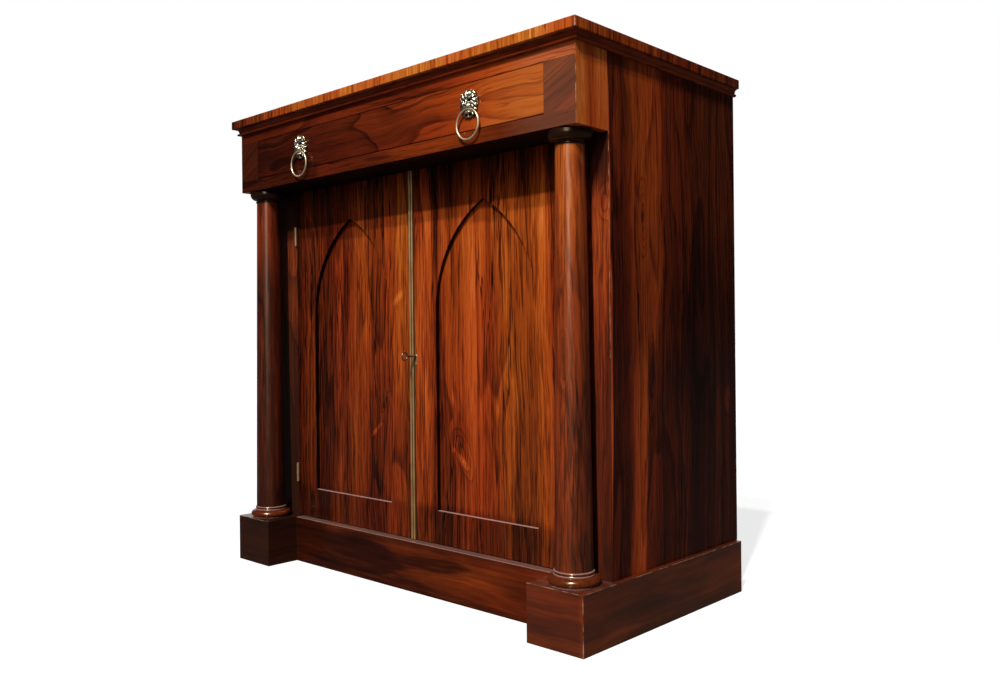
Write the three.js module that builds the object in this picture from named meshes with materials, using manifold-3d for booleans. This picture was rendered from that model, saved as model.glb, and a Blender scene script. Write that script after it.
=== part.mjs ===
// A rosewood chiffonier: one frieze drawer over a pair of arched doors, set back between two columns.
// Lengths are millimetres. X runs to the right, Y to the back, Z up, and the floor is at zero.
import * as THREE from "three";
import { mergeVertices } from "three/addons/utils/BufferGeometryUtils.js";
import Module from "manifold-3d";

const wasm = await Module();
wasm.setup();

// Clearances and the overrun that every cut shares
const clearance = 0.3;
const overrun = 2;

// Overall sizes
const totalHeight = 900;
const topWidth = 900;
const topDepth = 464;
const topThickness = 16;
const topEase = 1;
const topFrontOverhang = 16;
const topSideOverhang = 12;

// Carcass boards
const sideThickness = 20;
const friezeOverhang = 76;
const boardThickness = 20;
const backThickness = 12;
const backRebate = 12;
const housingDepth = 6;
const dividerThickness = 22;
const floorThickness = 18;
const shelfThickness = 16;
const shelfRiseShare = 0.498;
const shelfSetback = 28;
const frontStileWidth = 62;
const friezeEndWidth = 39.5;
const topRailDepth = 30;
const topRailHeight = 31.5;
const drawerOpeningHeight = 76.5;
const guideWidth = 17;
const guideHeight = 14;

// Moulding under the top: a bead below a hollow
const mouldingHeight = 12.5;
const beadHeight = 4.5;
const beadNeck = 4.2;
const beadBulge = 2.3;
const quirk = 0.8;
const hollowTop = 8.5;

// Plinth
const plinthHeight = 89;
const plinthLead = 8;
const plinthProud = 10;
const plinthBackInset = 4;
const blockWidth = 106;
const blockDepth = 112;
const plinthReturn = 67;
const plinthFrontThickness = 45;
const plinthSideThickness = 24;
const plinthBackThickness = 22;

// Columns
const columnInset = 50;
const columnSetback = 43.5;
const columnSides = 48;
const torusRadius = 39.5;
const torusHeight = 14;
const baseFilletRadius = 31;
const baseFilletHeight = 4;
const baseNeckHeight = 3.5;
const baseNeckRadius = 28.8;
const shaftFootRadius = 28.8;
const shaftHeadRadius = 22.4;
const capitalHeight = 22.5;
const capitalRadius = 35;
const capitalBandHeight = 5;
const capitalNeckRadius = 25;
const capitalNeckHeight = 6.5;
const dowelRadius = 10;
const dowelLength = 15;

// Drawer
const drawerPlay = 0.75;
const drawerFrontThickness = 20;
const drawerBackGap = 40;
const drawerSideThickness = 10;
const drawerSideHeight = 66;
const drawerBackThickness = 9;
const drawerBackHeight = 48;
const drawerBottomThickness = 6;
const drawerBottomRise = 7.5;
const drawerGrooveDepth = 5;
const drawerLap = 7;
const tailRoot = 11;
const tailEnd = 16;
const tailCentreShares = [1 / 6, 1 / 2, 5 / 6];

// Pulls: a lion's mask with a loose ring through its mouth
const pullSpacingShare = 0.6;
const pullRise = 45;
const maskRadius = 20.4;
const maskRim = 1.5;
const maskDome = 3.5;
const muzzleHeight = 8;
const browHeight = 1.8;
const noseHeight = 2;
const eyeDepth = 1.6;
const cheekHeight = 1;
const maneHeight = 0.9;
const maneLobes = 14;
const maneShare = 0.05;
const beardShare = 0.36;
const beardSpread = 0.3;
const maskRings = 13;
const maskSectors = 56;
const mouthDrop = 11.7;
const mouthProud = 6.5;
const mouthRadius = 2.9;
const ringRadius = 23.8;
const ringWire = 1.7;
const postRadius = 2.5;

// Doors
const doorThickness = 19.5;
const doorPlay = 1.5;
const hingePlay = 0.8;
const meetingPlay = 1.2;
const meetingMargin = 61.8;
const hingeMargin = 61.2;
const recessRise = 59;
const recessDepth = 8;
const archRadiusShare = 0.88;
const archSteps = 18;
const archCrown = 14;
const crownRailHeight = 54.6;
const panelThickness = 6;
const panelTongue = 6;
const grooveDepth = 6.5;
const tenonLength = 30;
const tenonShoulder = 10;

// Reeded strip on the right door
const stripWidth = 13;
const stripBase = 1.2;
const reedRadius = 2.6;
const reedSpacing = 6.2;
const reedSteps = 10;

// Butt hinges
const hingeLength = 38;
const upperHingeDrop = 91;
const lowerHingeRise = 89;
const knuckleRadius = 2.6;
const knuckleLength = 12.6;
const hingePinRadius = 1.05;
const leafThickness = 1.3;
const leafReach = 17;
const hingeSides = 20;

// Lock and key
const lockWidth = 42;
const lockHeight = 50;
const lockDepth = 9;
const lockWall = 1.2;
const lockRiseShare = 0.497;
const keyBackset = 15.5;
const keyRise = 25;
const boltThickness = 2.8;
const boltHeight = 9;
const boltLength = 28;
const boltRise = 2.7;
const boltThrow = 8;
const shankRadius = 1.9;
const keyholeSlotWidth = 2.6;
const keyholeSlotLength = 10;
const bowReach = 27;
const bowRadius = 6.2;
const bowWire = 1.2;
const bowStretch = 1.1;
const collarRadius = 2.8;
const collarLength = 2;
const bitLength = 7.5;
const bitWidth = 2.2;
const bitThickness = 1.6;

// Places worked out from the sizes, front to back, side to side and bottom to top
const topFront = -topDepth / 2;
const topBack = topDepth / 2;
const friezeFront = topFront + topFrontOverhang;
const lowerFront = friezeFront + friezeOverhang;
const lowerInside = lowerFront + boardThickness;
const carcassBack = topBack;
const backInside = carcassBack - backThickness;
const plinthFront = friezeFront - plinthLead;
const plinthBack = carcassBack - plinthBackInset;
const sideOuter = topWidth / 2 - topSideOverhang;
const sideInner = sideOuter - sideThickness;
const plinthOuter = sideOuter + plinthProud;
const topUnder = totalHeight - topThickness;
const topRailUnder = topUnder - topRailHeight;
const dividerTop = topRailUnder - drawerOpeningHeight;
const soffit = dividerTop - dividerThickness;
const shelfHeight = plinthHeight + shelfRiseShare * (soffit - plinthHeight);
const friezeInside = friezeFront + boardThickness;
const columnX = plinthOuter - columnInset;
const columnY = plinthFront + columnSetback;
const drawerHalf = sideInner - friezeEndWidth;
const doorHalf = sideInner - frontStileWidth;
const pullX = pullSpacingShare * drawerHalf;
const pullHeight = dividerTop + pullRise;
const doorBottom = plinthHeight + doorPlay;
const doorTop = soffit - doorPlay;
const doorBack = lowerFront + doorThickness;
const hingeEdge = doorHalf - hingePlay;
const meetingEdge = { right: -stripWidth / 2, left: -stripWidth / 2 - meetingPlay };
const upperHingeHeight = soffit - upperHingeDrop;
const lowerHingeHeight = plinthHeight + lowerHingeRise;
const recessInner = meetingMargin;
const recessOuter = doorHalf - hingeMargin;
const recessWidth = recessOuter - recessInner;
const recessCentre = (recessInner + recessOuter) / 2;
const recessBottom = plinthHeight + recessRise;
const archRadius = archRadiusShare * recessWidth;
const archRise = Math.sqrt(archRadius ** 2 - (archRadius - recessWidth / 2) ** 2);
const crownRailUnder = doorTop - crownRailHeight;
const archSpringing = crownRailUnder - archCrown - archRise;
const panelFront = lowerFront + recessDepth;
const panelBack = panelFront + panelThickness;
const pinX = doorHalf - hingePlay / 2;
const pinY = lowerFront - knuckleRadius - clearance;

// Finishes: colour, roughness and metalness
const finishes = {
  veneer: [0x8a3d14, 0.32, 0],
  darkWood: [0x2c130b, 0.3, 0],
  bandedEdge: [0xa9581f, 0.32, 0],
  lining: [0x9a7448, 0.7, 0],
  brass: [0x9b7a4a, 0.35, 1],
  antiqueBrass: [0x6f6149, 0.42, 1],
  iron: [0x4b4740, 0.5, 1],
};

const chiffonier = new THREE.Group();

// Adds one named piece with a material of its own to a group.
function addPiece(group, name, geometry, finish) {
  const [color, roughness, metalness] = finishes[finish];
  const material = new THREE.MeshStandardMaterial({ color, roughness, metalness });
  const mesh = new THREE.Mesh(geometry, material);
  mesh.name = name;
  group.add(mesh);
  return mesh;
}

function addGroup() {
  const group = new THREE.Group();
  chiffonier.add(group);
  return group;
}

// A box between two places on each axis, given in either order.
function box([xa, xb], [ya, yb], [za, zb]) {
  const geometry = new THREE.BoxGeometry(Math.abs(xb - xa), Math.abs(yb - ya), Math.abs(zb - za));
  return geometry.translate((xa + xb) / 2, (ya + yb) / 2, (za + zb) / 2);
}

// A cylinder about the X, Y or Z axis, from one place to another along it.
function rod(axis, radius, from, to, sides = hingeSides) {
  const geometry = new THREE.CylinderGeometry(radius, radius, Math.abs(to - from), sides);
  geometry.translate(0, (from + to) / 2, 0);
  if (axis === "x") geometry.rotateZ(-Math.PI / 2);
  if (axis === "z") geometry.rotateX(Math.PI / 2);
  return geometry;
}

function solidOf(geometry) {
  const bare = geometry.clone();
  bare.deleteAttribute("normal");
  bare.deleteAttribute("uv");
  const merged = mergeVertices(bare);
  return new wasm.Manifold(
    new wasm.Mesh({
      numProp: 3,
      vertProperties: merged.attributes.position.array,
      triVerts: new Uint32Array(merged.index.array),
    }),
  );
}

function geometryOf(solid) {
  const mesh = solid.getMesh();
  const positions = new Float32Array(mesh.numVert * 3);
  for (let i = 0; i < mesh.numVert; i++) {
    positions.set(mesh.vertProperties.subarray(i * mesh.numProp, i * mesh.numProp + 3), i * 3);
  }
  const indexed = new THREE.BufferGeometry();
  indexed.setAttribute("position", new THREE.BufferAttribute(positions, 3));
  indexed.setIndex(new THREE.BufferAttribute(new Uint32Array(mesh.triVerts), 1));
  const geometry = indexed.toNonIndexed();
  geometry.computeVertexNormals();
  return geometry;
}

// The first geometry with the others taken out of it.
function cut(geometry, ...tools) {
  const solid = tools.reduce((rest, tool) => rest.subtract(solidOf(tool)), solidOf(geometry));
  return geometryOf(solid);
}

function join(...geometries) {
  return geometryOf(geometries.map(solidOf).reduce((whole, part) => whole.add(part)));
}

function outline(points) {
  return new THREE.Shape(points.map(([a, b]) => new THREE.Vector2(a, b)));
}

function extrude(shape, depth, curveSegments = archSteps) {
  return new THREE.ExtrudeGeometry(shape, { depth, curveSegments, bevelEnabled: false });
}

// A plate whose outline is drawn in X and Z, from its front face back.
function facePlate(shape, front, thickness) {
  return extrude(shape, thickness).rotateX(Math.PI / 2).translate(0, front + thickness, 0);
}

// A plate whose outline is drawn in Y and Z, from its left face to the right.
function endPlate(shape, left, thickness) {
  const turn = new THREE.Matrix4().makeBasis(
    new THREE.Vector3(0, 1, 0),
    new THREE.Vector3(0, 0, 1),
    new THREE.Vector3(1, 0, 0),
  );
  return extrude(shape, thickness).applyMatrix4(turn).translate(left, 0, 0);
}

// A turned piece about Z from its profile, which starts and ends on the axis.
function turned(profile, sides = columnSides) {
  const points = profile.map(([radius, height]) => new THREE.Vector2(radius, height));
  return new THREE.LatheGeometry(points, sides).rotateX(Math.PI / 2);
}

// Points of a quarter, half or other stretch of an ellipse, from one angle to another.
function arcPoints([centreA, centreB], [radiusA, radiusB], from, to, steps) {
  return Array.from({ length: steps + 1 }, (_, i) => {
    const angle = from + ((to - from) * i) / steps;
    return [centreA + radiusA * Math.cos(angle), centreB + radiusB * Math.sin(angle)];
  });
}

function topBoard() {
  const half = topWidth / 2 - topEase;
  const shape = outline([
    [-half, topFront + topEase],
    [half, topFront + topEase],
    [half, topBack - topEase],
    [-half, topBack - topEase],
  ]);
  const eased = new THREE.ExtrudeGeometry(shape, {
    depth: topThickness - 2 * topEase,
    bevelThickness: topEase,
    bevelSize: topEase,
    bevelSegments: 2,
  });
  return eased.translate(0, 0, topUnder + topEase);
}

// The moulding's section: how far it stands out, and its height above its lower edge.
function mouldingSection() {
  const bead = arcPoints(
    [beadNeck, beadHeight / 2], [beadBulge, beadHeight / 2], -Math.PI / 2, Math.PI / 2, 8);
  const hollowFoot = beadHeight + quirk;
  const hollowNeck = beadNeck - quirk;
  const hollow = arcPoints(
    [hollowTop, hollowFoot],
    [hollowTop - hollowNeck, mouldingHeight - hollowFoot], Math.PI, Math.PI / 2, 6);
  return [[0, 0], ...bead, [hollowNeck, beadHeight], ...hollow, [0, mouldingHeight]];
}

// A length of the moulding, with each end square or carried out to a mitre.
function mouldingLength(length, mitreStart, mitreEnd) {
  const geometry = extrude(outline(mouldingSection()), length);
  const places = geometry.attributes.position;
  for (let i = 0; i < places.count; i++) {
    const outward = places.getX(i);
    const atEnd = places.getZ(i) > length / 2;
    const mitre = atEnd ? mitreEnd * outward : -mitreStart * outward;
    places.setZ(i, places.getZ(i) + mitre);
  }
  return geometry;
}

// Stands a moulding against a face: which way it looks out, and where its start lies.
function placeMoulding(geometry, outward, start) {
  const up = new THREE.Vector3(0, 0, 1);
  const along = new THREE.Vector3().crossVectors(outward, up);
  const turn = new THREE.Matrix4().makeBasis(outward, up, along).setPosition(...start);
  return geometry.applyMatrix4(turn);
}

function addTop(group) {
  addPiece(group, "top_board", topBoard(), "bandedEdge");
  const under = topUnder - mouldingHeight;
  const front = mouldingLength(2 * sideOuter, 1, 1);
  placeMoulding(front, new THREE.Vector3(0, -1, 0), [sideOuter, friezeFront, under]);
  addPiece(group, "top_moulding_front", front, "darkWood");
  const right = mouldingLength(carcassBack - friezeFront, 0, 1);
  placeMoulding(right, new THREE.Vector3(1, 0, 0), [sideOuter, carcassBack, under]);
  addPiece(group, "top_moulding_right", right, "darkWood");
  const left = mouldingLength(carcassBack - friezeFront, 1, 0);
  placeMoulding(left, new THREE.Vector3(-1, 0, 0), [-sideOuter, friezeFront, under]);
  addPiece(group, "top_moulding_left", left, "darkWood");
}

// A side is one L-shaped board, forward at the frieze, with housings for what it carries.
function sideBoard(hand) {
  const shape = outline([
    [lowerFront, plinthHeight],
    [carcassBack, plinthHeight],
    [carcassBack, topUnder],
    [friezeFront, topUnder],
    [friezeFront, soffit],
    [lowerFront, soffit],
  ]);
  const left = hand > 0 ? sideInner : -sideOuter;
  const housing = hand * (sideInner + housingDepth);
  const face = hand * (sideInner - overrun);
  const past = backInside + overrun;
  return cut(
    endPlate(shape, left, sideThickness),
    box([face, housing], [friezeInside, past], [soffit - overrun, dividerTop]),
    box([face, housing], [lowerInside, past], [plinthHeight - overrun, plinthHeight + floorThickness]),
    box([face, housing], [lowerInside + shelfSetback, past], [shelfHeight, shelfHeight + shelfThickness]),
    box(
      [face, hand * (sideInner + backRebate)],
      [backInside, carcassBack + overrun],
      [plinthHeight - overrun, topUnder + overrun],
    ),
  );
}

// A board across the carcass, wider behind its front part where it sits in the sides' housings.
function housedBoard(front, housedFrom, lower, thickness) {
  const housed = sideInner + housingDepth;
  const shape = outline([
    [-sideInner, front],
    [sideInner, front],
    [sideInner, housedFrom],
    [housed, housedFrom],
    [housed, backInside],
    [-housed, backInside],
    [-housed, housedFrom],
    [-sideInner, housedFrom],
  ]);
  return extrude(shape, thickness).translate(0, 0, lower);
}

function crossBoard(front, lower, thickness) {
  const housed = sideInner + housingDepth;
  return box([-housed, housed], [front, backInside], [lower, lower + thickness]);
}

// The recess that one hinge leaf needs in the wood, from the wood's edge to the leaf's far face.
function leafHousing(hand, edge, leafFace, height) {
  const reach = hingeLength / 2 + clearance;
  return box(
    [hand * edge, hand * leafFace],
    [lowerFront - overrun, lowerFront + leafReach + clearance],
    [height - reach, height + reach],
  );
}

function frontStile(hand) {
  const leafFace = pinX + clearance / 2 + leafThickness;
  const board = box([hand * doorHalf, hand * sideInner], [lowerFront, lowerInside], [plinthHeight, soffit]);
  return cut(
    board,
    leafHousing(hand, doorHalf - overrun, leafFace, upperHingeHeight),
    leafHousing(hand, doorHalf - overrun, leafFace, lowerHingeHeight),
  );
}

function addCarcass(group) {
  for (const [word, hand] of [["left", -1], ["right", 1]]) {
    addPiece(group, `side_${word}`, sideBoard(hand), "veneer");
    addPiece(group, `front_stile_${word}`, frontStile(hand), "veneer");
    const end = box(
      [hand * drawerHalf, hand * sideInner], [friezeFront, friezeInside], [dividerTop, topRailUnder]);
    addPiece(group, `frieze_end_${word}`, end, "veneer");
    const guide = box(
      [hand * drawerHalf, hand * (drawerHalf + guideWidth)],
      [friezeInside, backInside],
      [dividerTop, dividerTop + guideHeight],
    );
    addPiece(group, `drawer_guide_${word}`, guide, "lining");
  }
  const topRail = box(
    [-sideInner, sideInner], [friezeFront, friezeFront + topRailDepth], [topRailUnder, topUnder]);
  addPiece(group, "frieze_top_rail", topRail, "veneer");
  const divider = housedBoard(friezeFront, friezeInside, soffit, dividerThickness);
  addPiece(group, "divider_board", divider, "veneer");
  addPiece(group, "cupboard_floor", crossBoard(lowerInside, plinthHeight, floorThickness), "lining");
  addPiece(group, "shelf", crossBoard(lowerInside + shelfSetback, shelfHeight, shelfThickness), "lining");
  const backHalf = sideInner + backRebate;
  const back = box([-backHalf, backHalf], [backInside, carcassBack], [plinthHeight, topUnder]);
  addPiece(group, "back_board", back, "lining");
}

function addPlinth(group) {
  const blockInner = plinthOuter - blockWidth;
  const blockBack = plinthFront + blockDepth;
  const frontFace = plinthFront + plinthReturn;
  const sideInside = plinthOuter - plinthSideThickness;
  const dowelHole = rod("z", dowelRadius + clearance, plinthHeight - dowelLength, plinthHeight + overrun);
  for (const [word, hand] of [["left", -1], ["right", 1]]) {
    const block = box([hand * blockInner, hand * plinthOuter], [plinthFront, blockBack], [0, plinthHeight]);
    const hole = dowelHole.clone().translate(hand * columnX, columnY, 0);
    addPiece(group, `plinth_block_${word}`, cut(block, hole), "darkWood");
    const side = box([hand * sideInside, hand * plinthOuter], [blockBack, plinthBack], [0, plinthHeight]);
    addPiece(group, `plinth_side_${word}`, side, "darkWood");
  }
  const front = box(
    [-blockInner, blockInner], [frontFace, frontFace + plinthFrontThickness], [0, plinthHeight]);
  addPiece(group, "plinth_front", front, "darkWood");
  const back = box(
    [-sideInside, sideInside], [plinthBack - plinthBackThickness, plinthBack], [0, plinthHeight]);
  addPiece(group, "plinth_back", back, "darkWood");
}

// A column's base: a round torus, a neck and a fillet, with a dowel down into the plinth block.
function columnBase() {
  const torus = arcPoints(
    [torusRadius - torusHeight / 2, torusHeight / 2],
    [torusHeight / 2, torusHeight / 2], -Math.PI / 2, Math.PI / 2, 10);
  const neckTop = torusHeight + baseNeckHeight;
  const filletTop = neckTop + baseFilletHeight;
  const rounded = baseFilletHeight / 2;
  const fillet = arcPoints(
    [baseFilletRadius - rounded, neckTop + rounded], [rounded, rounded], -Math.PI / 2, Math.PI / 2, 4);
  const dowelEnd = clearance - dowelLength;
  return turned([
    [0, dowelEnd],
    [dowelRadius, dowelEnd],
    [dowelRadius, 0],
    ...torus,
    [baseNeckRadius, torusHeight],
    [baseNeckRadius, neckTop],
    ...fillet,
    [0, filletTop],
  ]);
}

function columnShaft(length) {
  return turned([[0, 0], [shaftFootRadius, 0], [shaftHeadRadius, length], [0, length]]);
}

// A column's capital: a short cone, a step, a full round cushion and a band under the soffit.
function columnCapital() {
  const cushionTop = capitalHeight - capitalBandHeight;
  const cushion = arcPoints(
    [capitalNeckRadius, cushionTop],
    [capitalRadius - capitalNeckRadius, cushionTop - capitalNeckHeight], -Math.PI / 2, 0, 10);
  return turned([
    [0, 0],
    [shaftHeadRadius, 0],
    [capitalNeckRadius, capitalNeckHeight],
    ...cushion.slice(1),
    [capitalRadius, capitalHeight],
    [0, capitalHeight],
  ]);
}

function addColumns(group) {
  const baseHeight = torusHeight + baseNeckHeight + baseFilletHeight;
  const shaftFoot = plinthHeight + baseHeight;
  const shaftHead = soffit - capitalHeight;
  for (const [word, hand] of [["left", -1], ["right", 1]]) {
    const base = addPiece(group, `column_base_${word}`, columnBase(), "darkWood");
    base.position.set(hand * columnX, columnY, plinthHeight);
    const shaft = addPiece(group, `column_shaft_${word}`, columnShaft(shaftHead - shaftFoot), "veneer");
    shaft.position.set(hand * columnX, columnY, shaftFoot);
    const capital = addPiece(group, `column_capital_${word}`, columnCapital(), "darkWood");
    capital.position.set(hand * columnX, columnY, shaftHead);
  }
}

const drawerOuter = drawerHalf - drawerPlay;
const drawerInner = drawerOuter - drawerSideThickness;
const drawerFloor = dividerTop + clearance;
const drawerFrontBack = friezeFront + drawerFrontThickness;
const drawerEnd = backInside - drawerBackGap;
const drawerGrooveFloor = drawerFloor + drawerBottomRise;
const drawerGrooveTop = drawerGrooveFloor + drawerBottomThickness + 2 * clearance;

// The dovetails on the end of a drawer side, or with an allowance the sockets that take them.
function dovetails(hand, allowance) {
  const tip = friezeFront + drawerLap - allowance;
  const root = drawerFrontBack;
  const outer = drawerOuter + (allowance ? overrun : 0);
  const left = hand > 0 ? drawerInner - allowance : -outer;
  return tailCentreShares.map((share) => {
    const middle = drawerFloor + share * drawerSideHeight;
    const narrow = tailRoot / 2 + allowance;
    const wide = tailEnd / 2 + allowance;
    const shape = outline([
      [tip, middle - wide],
      [root, middle - narrow],
      [root + overrun, middle - narrow],
      [root + overrun, middle + narrow],
      [root, middle + narrow],
      [tip, middle + wide],
    ]);
    return endPlate(shape, left, outer - drawerInner + allowance);
  });
}

function drawerSide(hand) {
  const board = box(
    [hand * drawerInner, hand * drawerOuter],
    [drawerFrontBack, drawerEnd],
    [drawerFloor, drawerFloor + drawerSideHeight],
  );
  const groove = box(
    [hand * (drawerInner - overrun), hand * (drawerInner + drawerGrooveDepth)],
    [drawerFrontBack, drawerEnd + overrun],
    [drawerGrooveFloor, drawerGrooveTop],
  );
  return cut(join(board, ...dovetails(hand, 0)), groove);
}

function drawerFront() {
  const board = box(
    [-drawerOuter, drawerOuter],
    [friezeFront, drawerFrontBack],
    [dividerTop + drawerPlay, topRailUnder - drawerPlay],
  );
  const groove = box(
    [-drawerInner, drawerInner],
    [drawerFrontBack - drawerGrooveDepth - clearance, drawerFrontBack + overrun],
    [drawerGrooveFloor, drawerGrooveTop],
  );
  const holes = [-1, 1].map((hand) =>
    rod("y", postRadius + clearance, friezeFront - overrun, drawerFrontBack + overrun)
      .translate(hand * pullX, 0, pullHeight));
  return cut(board, groove, ...holes, ...dovetails(-1, clearance), ...dovetails(1, clearance));
}

function drawerBottom() {
  const wide = drawerInner + drawerGrooveDepth - clearance;
  const narrow = drawerInner - clearance;
  const shoulder = drawerFrontBack + clearance;
  const shape = outline([
    [-narrow, drawerFrontBack - drawerGrooveDepth],
    [narrow, drawerFrontBack - drawerGrooveDepth],
    [narrow, shoulder],
    [wide, shoulder],
    [wide, drawerEnd],
    [-wide, drawerEnd],
    [-wide, shoulder],
    [-narrow, shoulder],
  ]);
  return extrude(shape, drawerBottomThickness).translate(0, 0, drawerGrooveFloor);
}

function drawerBack() {
  const lower = drawerGrooveFloor + drawerBottomThickness;
  return box(
    [-drawerInner, drawerInner],
    [drawerEnd - drawerBackThickness, drawerEnd],
    [lower, lower + drawerBackHeight],
  );
}

// A smooth bump of unit height about a place on the mask's face.
function bump(across, up, [centreAcross, centreUp], [widthAcross, widthUp]) {
  return Math.exp(-(((across - centreAcross) / widthAcross) ** 2) - ((up - centreUp) / widthUp) ** 2);
}

const muzzleShares = [[0, -0.55], [0.3, 0.3]];
const noseShares = [[0, 0.05], [0.14, 0.5]];
const browShares = [[0.3, 0.36], [0.22, 0.12]];
const eyeShares = [[0.32, 0.14], [0.13, 0.1]];
const cheekShares = [[0.5, -0.1], [0.2, 0.25]];

// How far the lion's face stands out, at a place given in shares of the mask's radius.
function maskHeight(across, up) {
  const reach = Math.min(1, Math.hypot(across, up));
  const side = Math.abs(across);
  const lobes = Math.cos(maneLobes * Math.atan2(up, across)) * reach ** 4;
  return (
    maskRim +
    maskDome * (1 - reach ** 2) +
    muzzleHeight * bump(across, up, ...muzzleShares) +
    noseHeight * bump(across, up, ...noseShares) +
    browHeight * bump(side, up, ...browShares) -
    eyeDepth * bump(side, up, ...eyeShares) +
    cheekHeight * bump(side, up, ...cheekShares) +
    maneHeight * lobes
  );
}

// The mask's outline: a round of small locks with a tuft of beard at the bottom.
function maskOutline(angle) {
  const fromBottom = Math.atan2(Math.cos(angle), -Math.sin(angle));
  const beard = beardShare * Math.exp(-((fromBottom / beardSpread) ** 2));
  return 1 + maneShare * Math.cos(maneLobes * angle) + beard;
}

// The lion's mask, its back on the drawer front at zero, with a post behind and a hole through the mouth.
function lionMask() {
  const positions = [0, -maskHeight(0, 0), 0];
  for (let ring = 1; ring <= maskRings; ring++) {
    for (let sector = 0; sector < maskSectors; sector++) {
      const angle = (2 * Math.PI * sector) / maskSectors;
      const reach = (ring / maskRings) * maskOutline(angle);
      const across = reach * Math.cos(angle);
      const up = reach * Math.sin(angle);
      positions.push(maskRadius * across, -maskHeight(across, up), maskRadius * up);
    }
  }
  const index = [];
  const at = (ring, sector) => 1 + (ring - 1) * maskSectors + (sector % maskSectors);
  const rim = positions.length / 3;
  for (let sector = 0; sector < maskSectors; sector++) {
    const edge = 3 * at(maskRings, sector);
    positions.push(positions[edge], 0, positions[edge + 2]);
  }
  const middle = positions.length / 3;
  positions.push(0, 0, 0);
  for (let sector = 0; sector < maskSectors; sector++) {
    const next = sector + 1;
    const low = rim + sector;
    const lowNext = rim + (next % maskSectors);
    index.push(0, at(1, sector), at(1, next), middle, lowNext, low);
    index.push(at(maskRings, sector), low, at(maskRings, next), at(maskRings, next), low, lowNext);
    for (let ring = 1; ring < maskRings; ring++) {
      index.push(at(ring, sector), at(ring + 1, sector), at(ring, next));
      index.push(at(ring, next), at(ring + 1, sector), at(ring + 1, next));
    }
  }
  const face = new THREE.BufferGeometry();
  face.setAttribute("position", new THREE.Float32BufferAttribute(positions, 3));
  face.setIndex(index);
  const mouth = rod("x", mouthRadius, -2 * maskRadius, 2 * maskRadius);
  mouth.translate(0, -mouthProud, -mouthDrop);
  const post = rod("y", postRadius, -maskRim / 2, drawerFrontThickness);
  return join(cut(face, mouth), post);
}

function addDrawer(group) {
  addPiece(group, "drawer_front", drawerFront(), "veneer");
  addPiece(group, "drawer_back", drawerBack(), "lining");
  addPiece(group, "drawer_bottom", drawerBottom(), "lining");
  for (const [word, hand] of [["left", -1], ["right", 1]]) {
    addPiece(group, `drawer_side_${word}`, drawerSide(hand), "lining");
    const mask = addPiece(group, `lion_mask_${word}`, lionMask(), "antiqueBrass");
    mask.position.set(hand * pullX, friezeFront, pullHeight);
    const ring = new THREE.TorusGeometry(ringRadius, ringWire, 10, 44).rotateX(Math.PI / 2);
    const pull = addPiece(group, `pull_ring_${word}`, ring, "antiqueBrass");
    pull.position.set(
      hand * pullX, friezeFront - mouthProud, pullHeight - mouthDrop - ringRadius);
  }
}

// The pointed arch: an outline between the stiles above it, closed over the top.
function spandrelOutline(middle) {
  const half = recessWidth / 2;
  const apexAngle = Math.acos((archRadius - half) / archRadius);
  const leftArc = arcPoints(
    [middle - half + archRadius, archSpringing],
    [archRadius, archRadius], Math.PI, Math.PI - apexAngle, archSteps);
  const rightArc = arcPoints(
    [middle + half - archRadius, archSpringing], [archRadius, archRadius], apexAngle, 0, archSteps);
  const over = crownRailUnder + overrun;
  return outline([
    ...leftArc, ...rightArc.slice(1), [middle + half, over], [middle - half, over],
  ]);
}

// The tenons on both ends of a rail, or with an allowance the mortises that take them.
function tenons(hand, [lower, upper], allowance) {
  const height = [lower + tenonShoulder - allowance, upper - tenonShoulder + allowance];
  const depth = [panelFront - allowance, panelBack + allowance];
  const length = tenonLength + allowance;
  return [
    box([hand * (recessInner - length), hand * (recessInner + overrun)], depth, height),
    box([hand * (recessOuter - overrun), hand * (recessOuter + length)], depth, height),
  ];
}

const bottomRailSpan = [doorBottom, recessBottom];
const crownRailSpan = [crownRailUnder, doorTop];

function doorStile(hand, edge, recessEdge, inward) {
  const board = box([edge, hand * recessEdge], [lowerFront, doorBack], [doorBottom, doorTop]);
  const groove = box(
    [hand * (recessEdge - inward * grooveDepth), hand * (recessEdge + inward * overrun)],
    [panelFront, panelBack],
    [recessBottom - grooveDepth, crownRailUnder + grooveDepth],
  );
  return cut(
    board, groove, ...tenons(hand, bottomRailSpan, clearance), ...tenons(hand, crownRailSpan, clearance));
}

function hingeStile(hand) {
  const leafFace = pinX - clearance / 2 - leafThickness;
  return cut(
    doorStile(hand, hand * hingeEdge, recessOuter, -1),
    leafHousing(hand, hingeEdge + overrun, leafFace, upperHingeHeight),
    leafHousing(hand, hingeEdge + overrun, leafFace, lowerHingeHeight),
  );
}

const lockLeft = meetingEdge.right + clearance;
const lockBottom = doorBottom + lockRiseShare * (doorTop - doorBottom) - keyRise;
const lockFront = doorBack - lockDepth;
const keyX = meetingEdge.right + keyBackset;
const keyZ = lockBottom + keyRise;
const boltFront = lockFront + lockWall + clearance;
const boltBottom = keyZ + boltRise;

// The keyhole that goes through a plate: a round for the shank with a slot below for the bit.
function keyhole(front, back) {
  const round = rod("y", shankRadius + clearance, front, back).translate(keyX, 0, keyZ);
  const slotSides = [keyX - keyholeSlotWidth / 2, keyX + keyholeSlotWidth / 2];
  const slot = box(slotSides, [front, back], [keyZ - keyholeSlotLength, keyZ]);
  return join(round, slot);
}

function rightMeetingStile() {
  const pocket = box(
    [meetingEdge.right - overrun, lockLeft + lockWidth + clearance],
    [lockFront, doorBack + overrun],
    [lockBottom - clearance, lockBottom + lockHeight + clearance],
  );
  const stile = doorStile(1, meetingEdge.right, recessInner, 1);
  return cut(stile, pocket, keyhole(lowerFront - overrun, lockFront + overrun));
}

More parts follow.
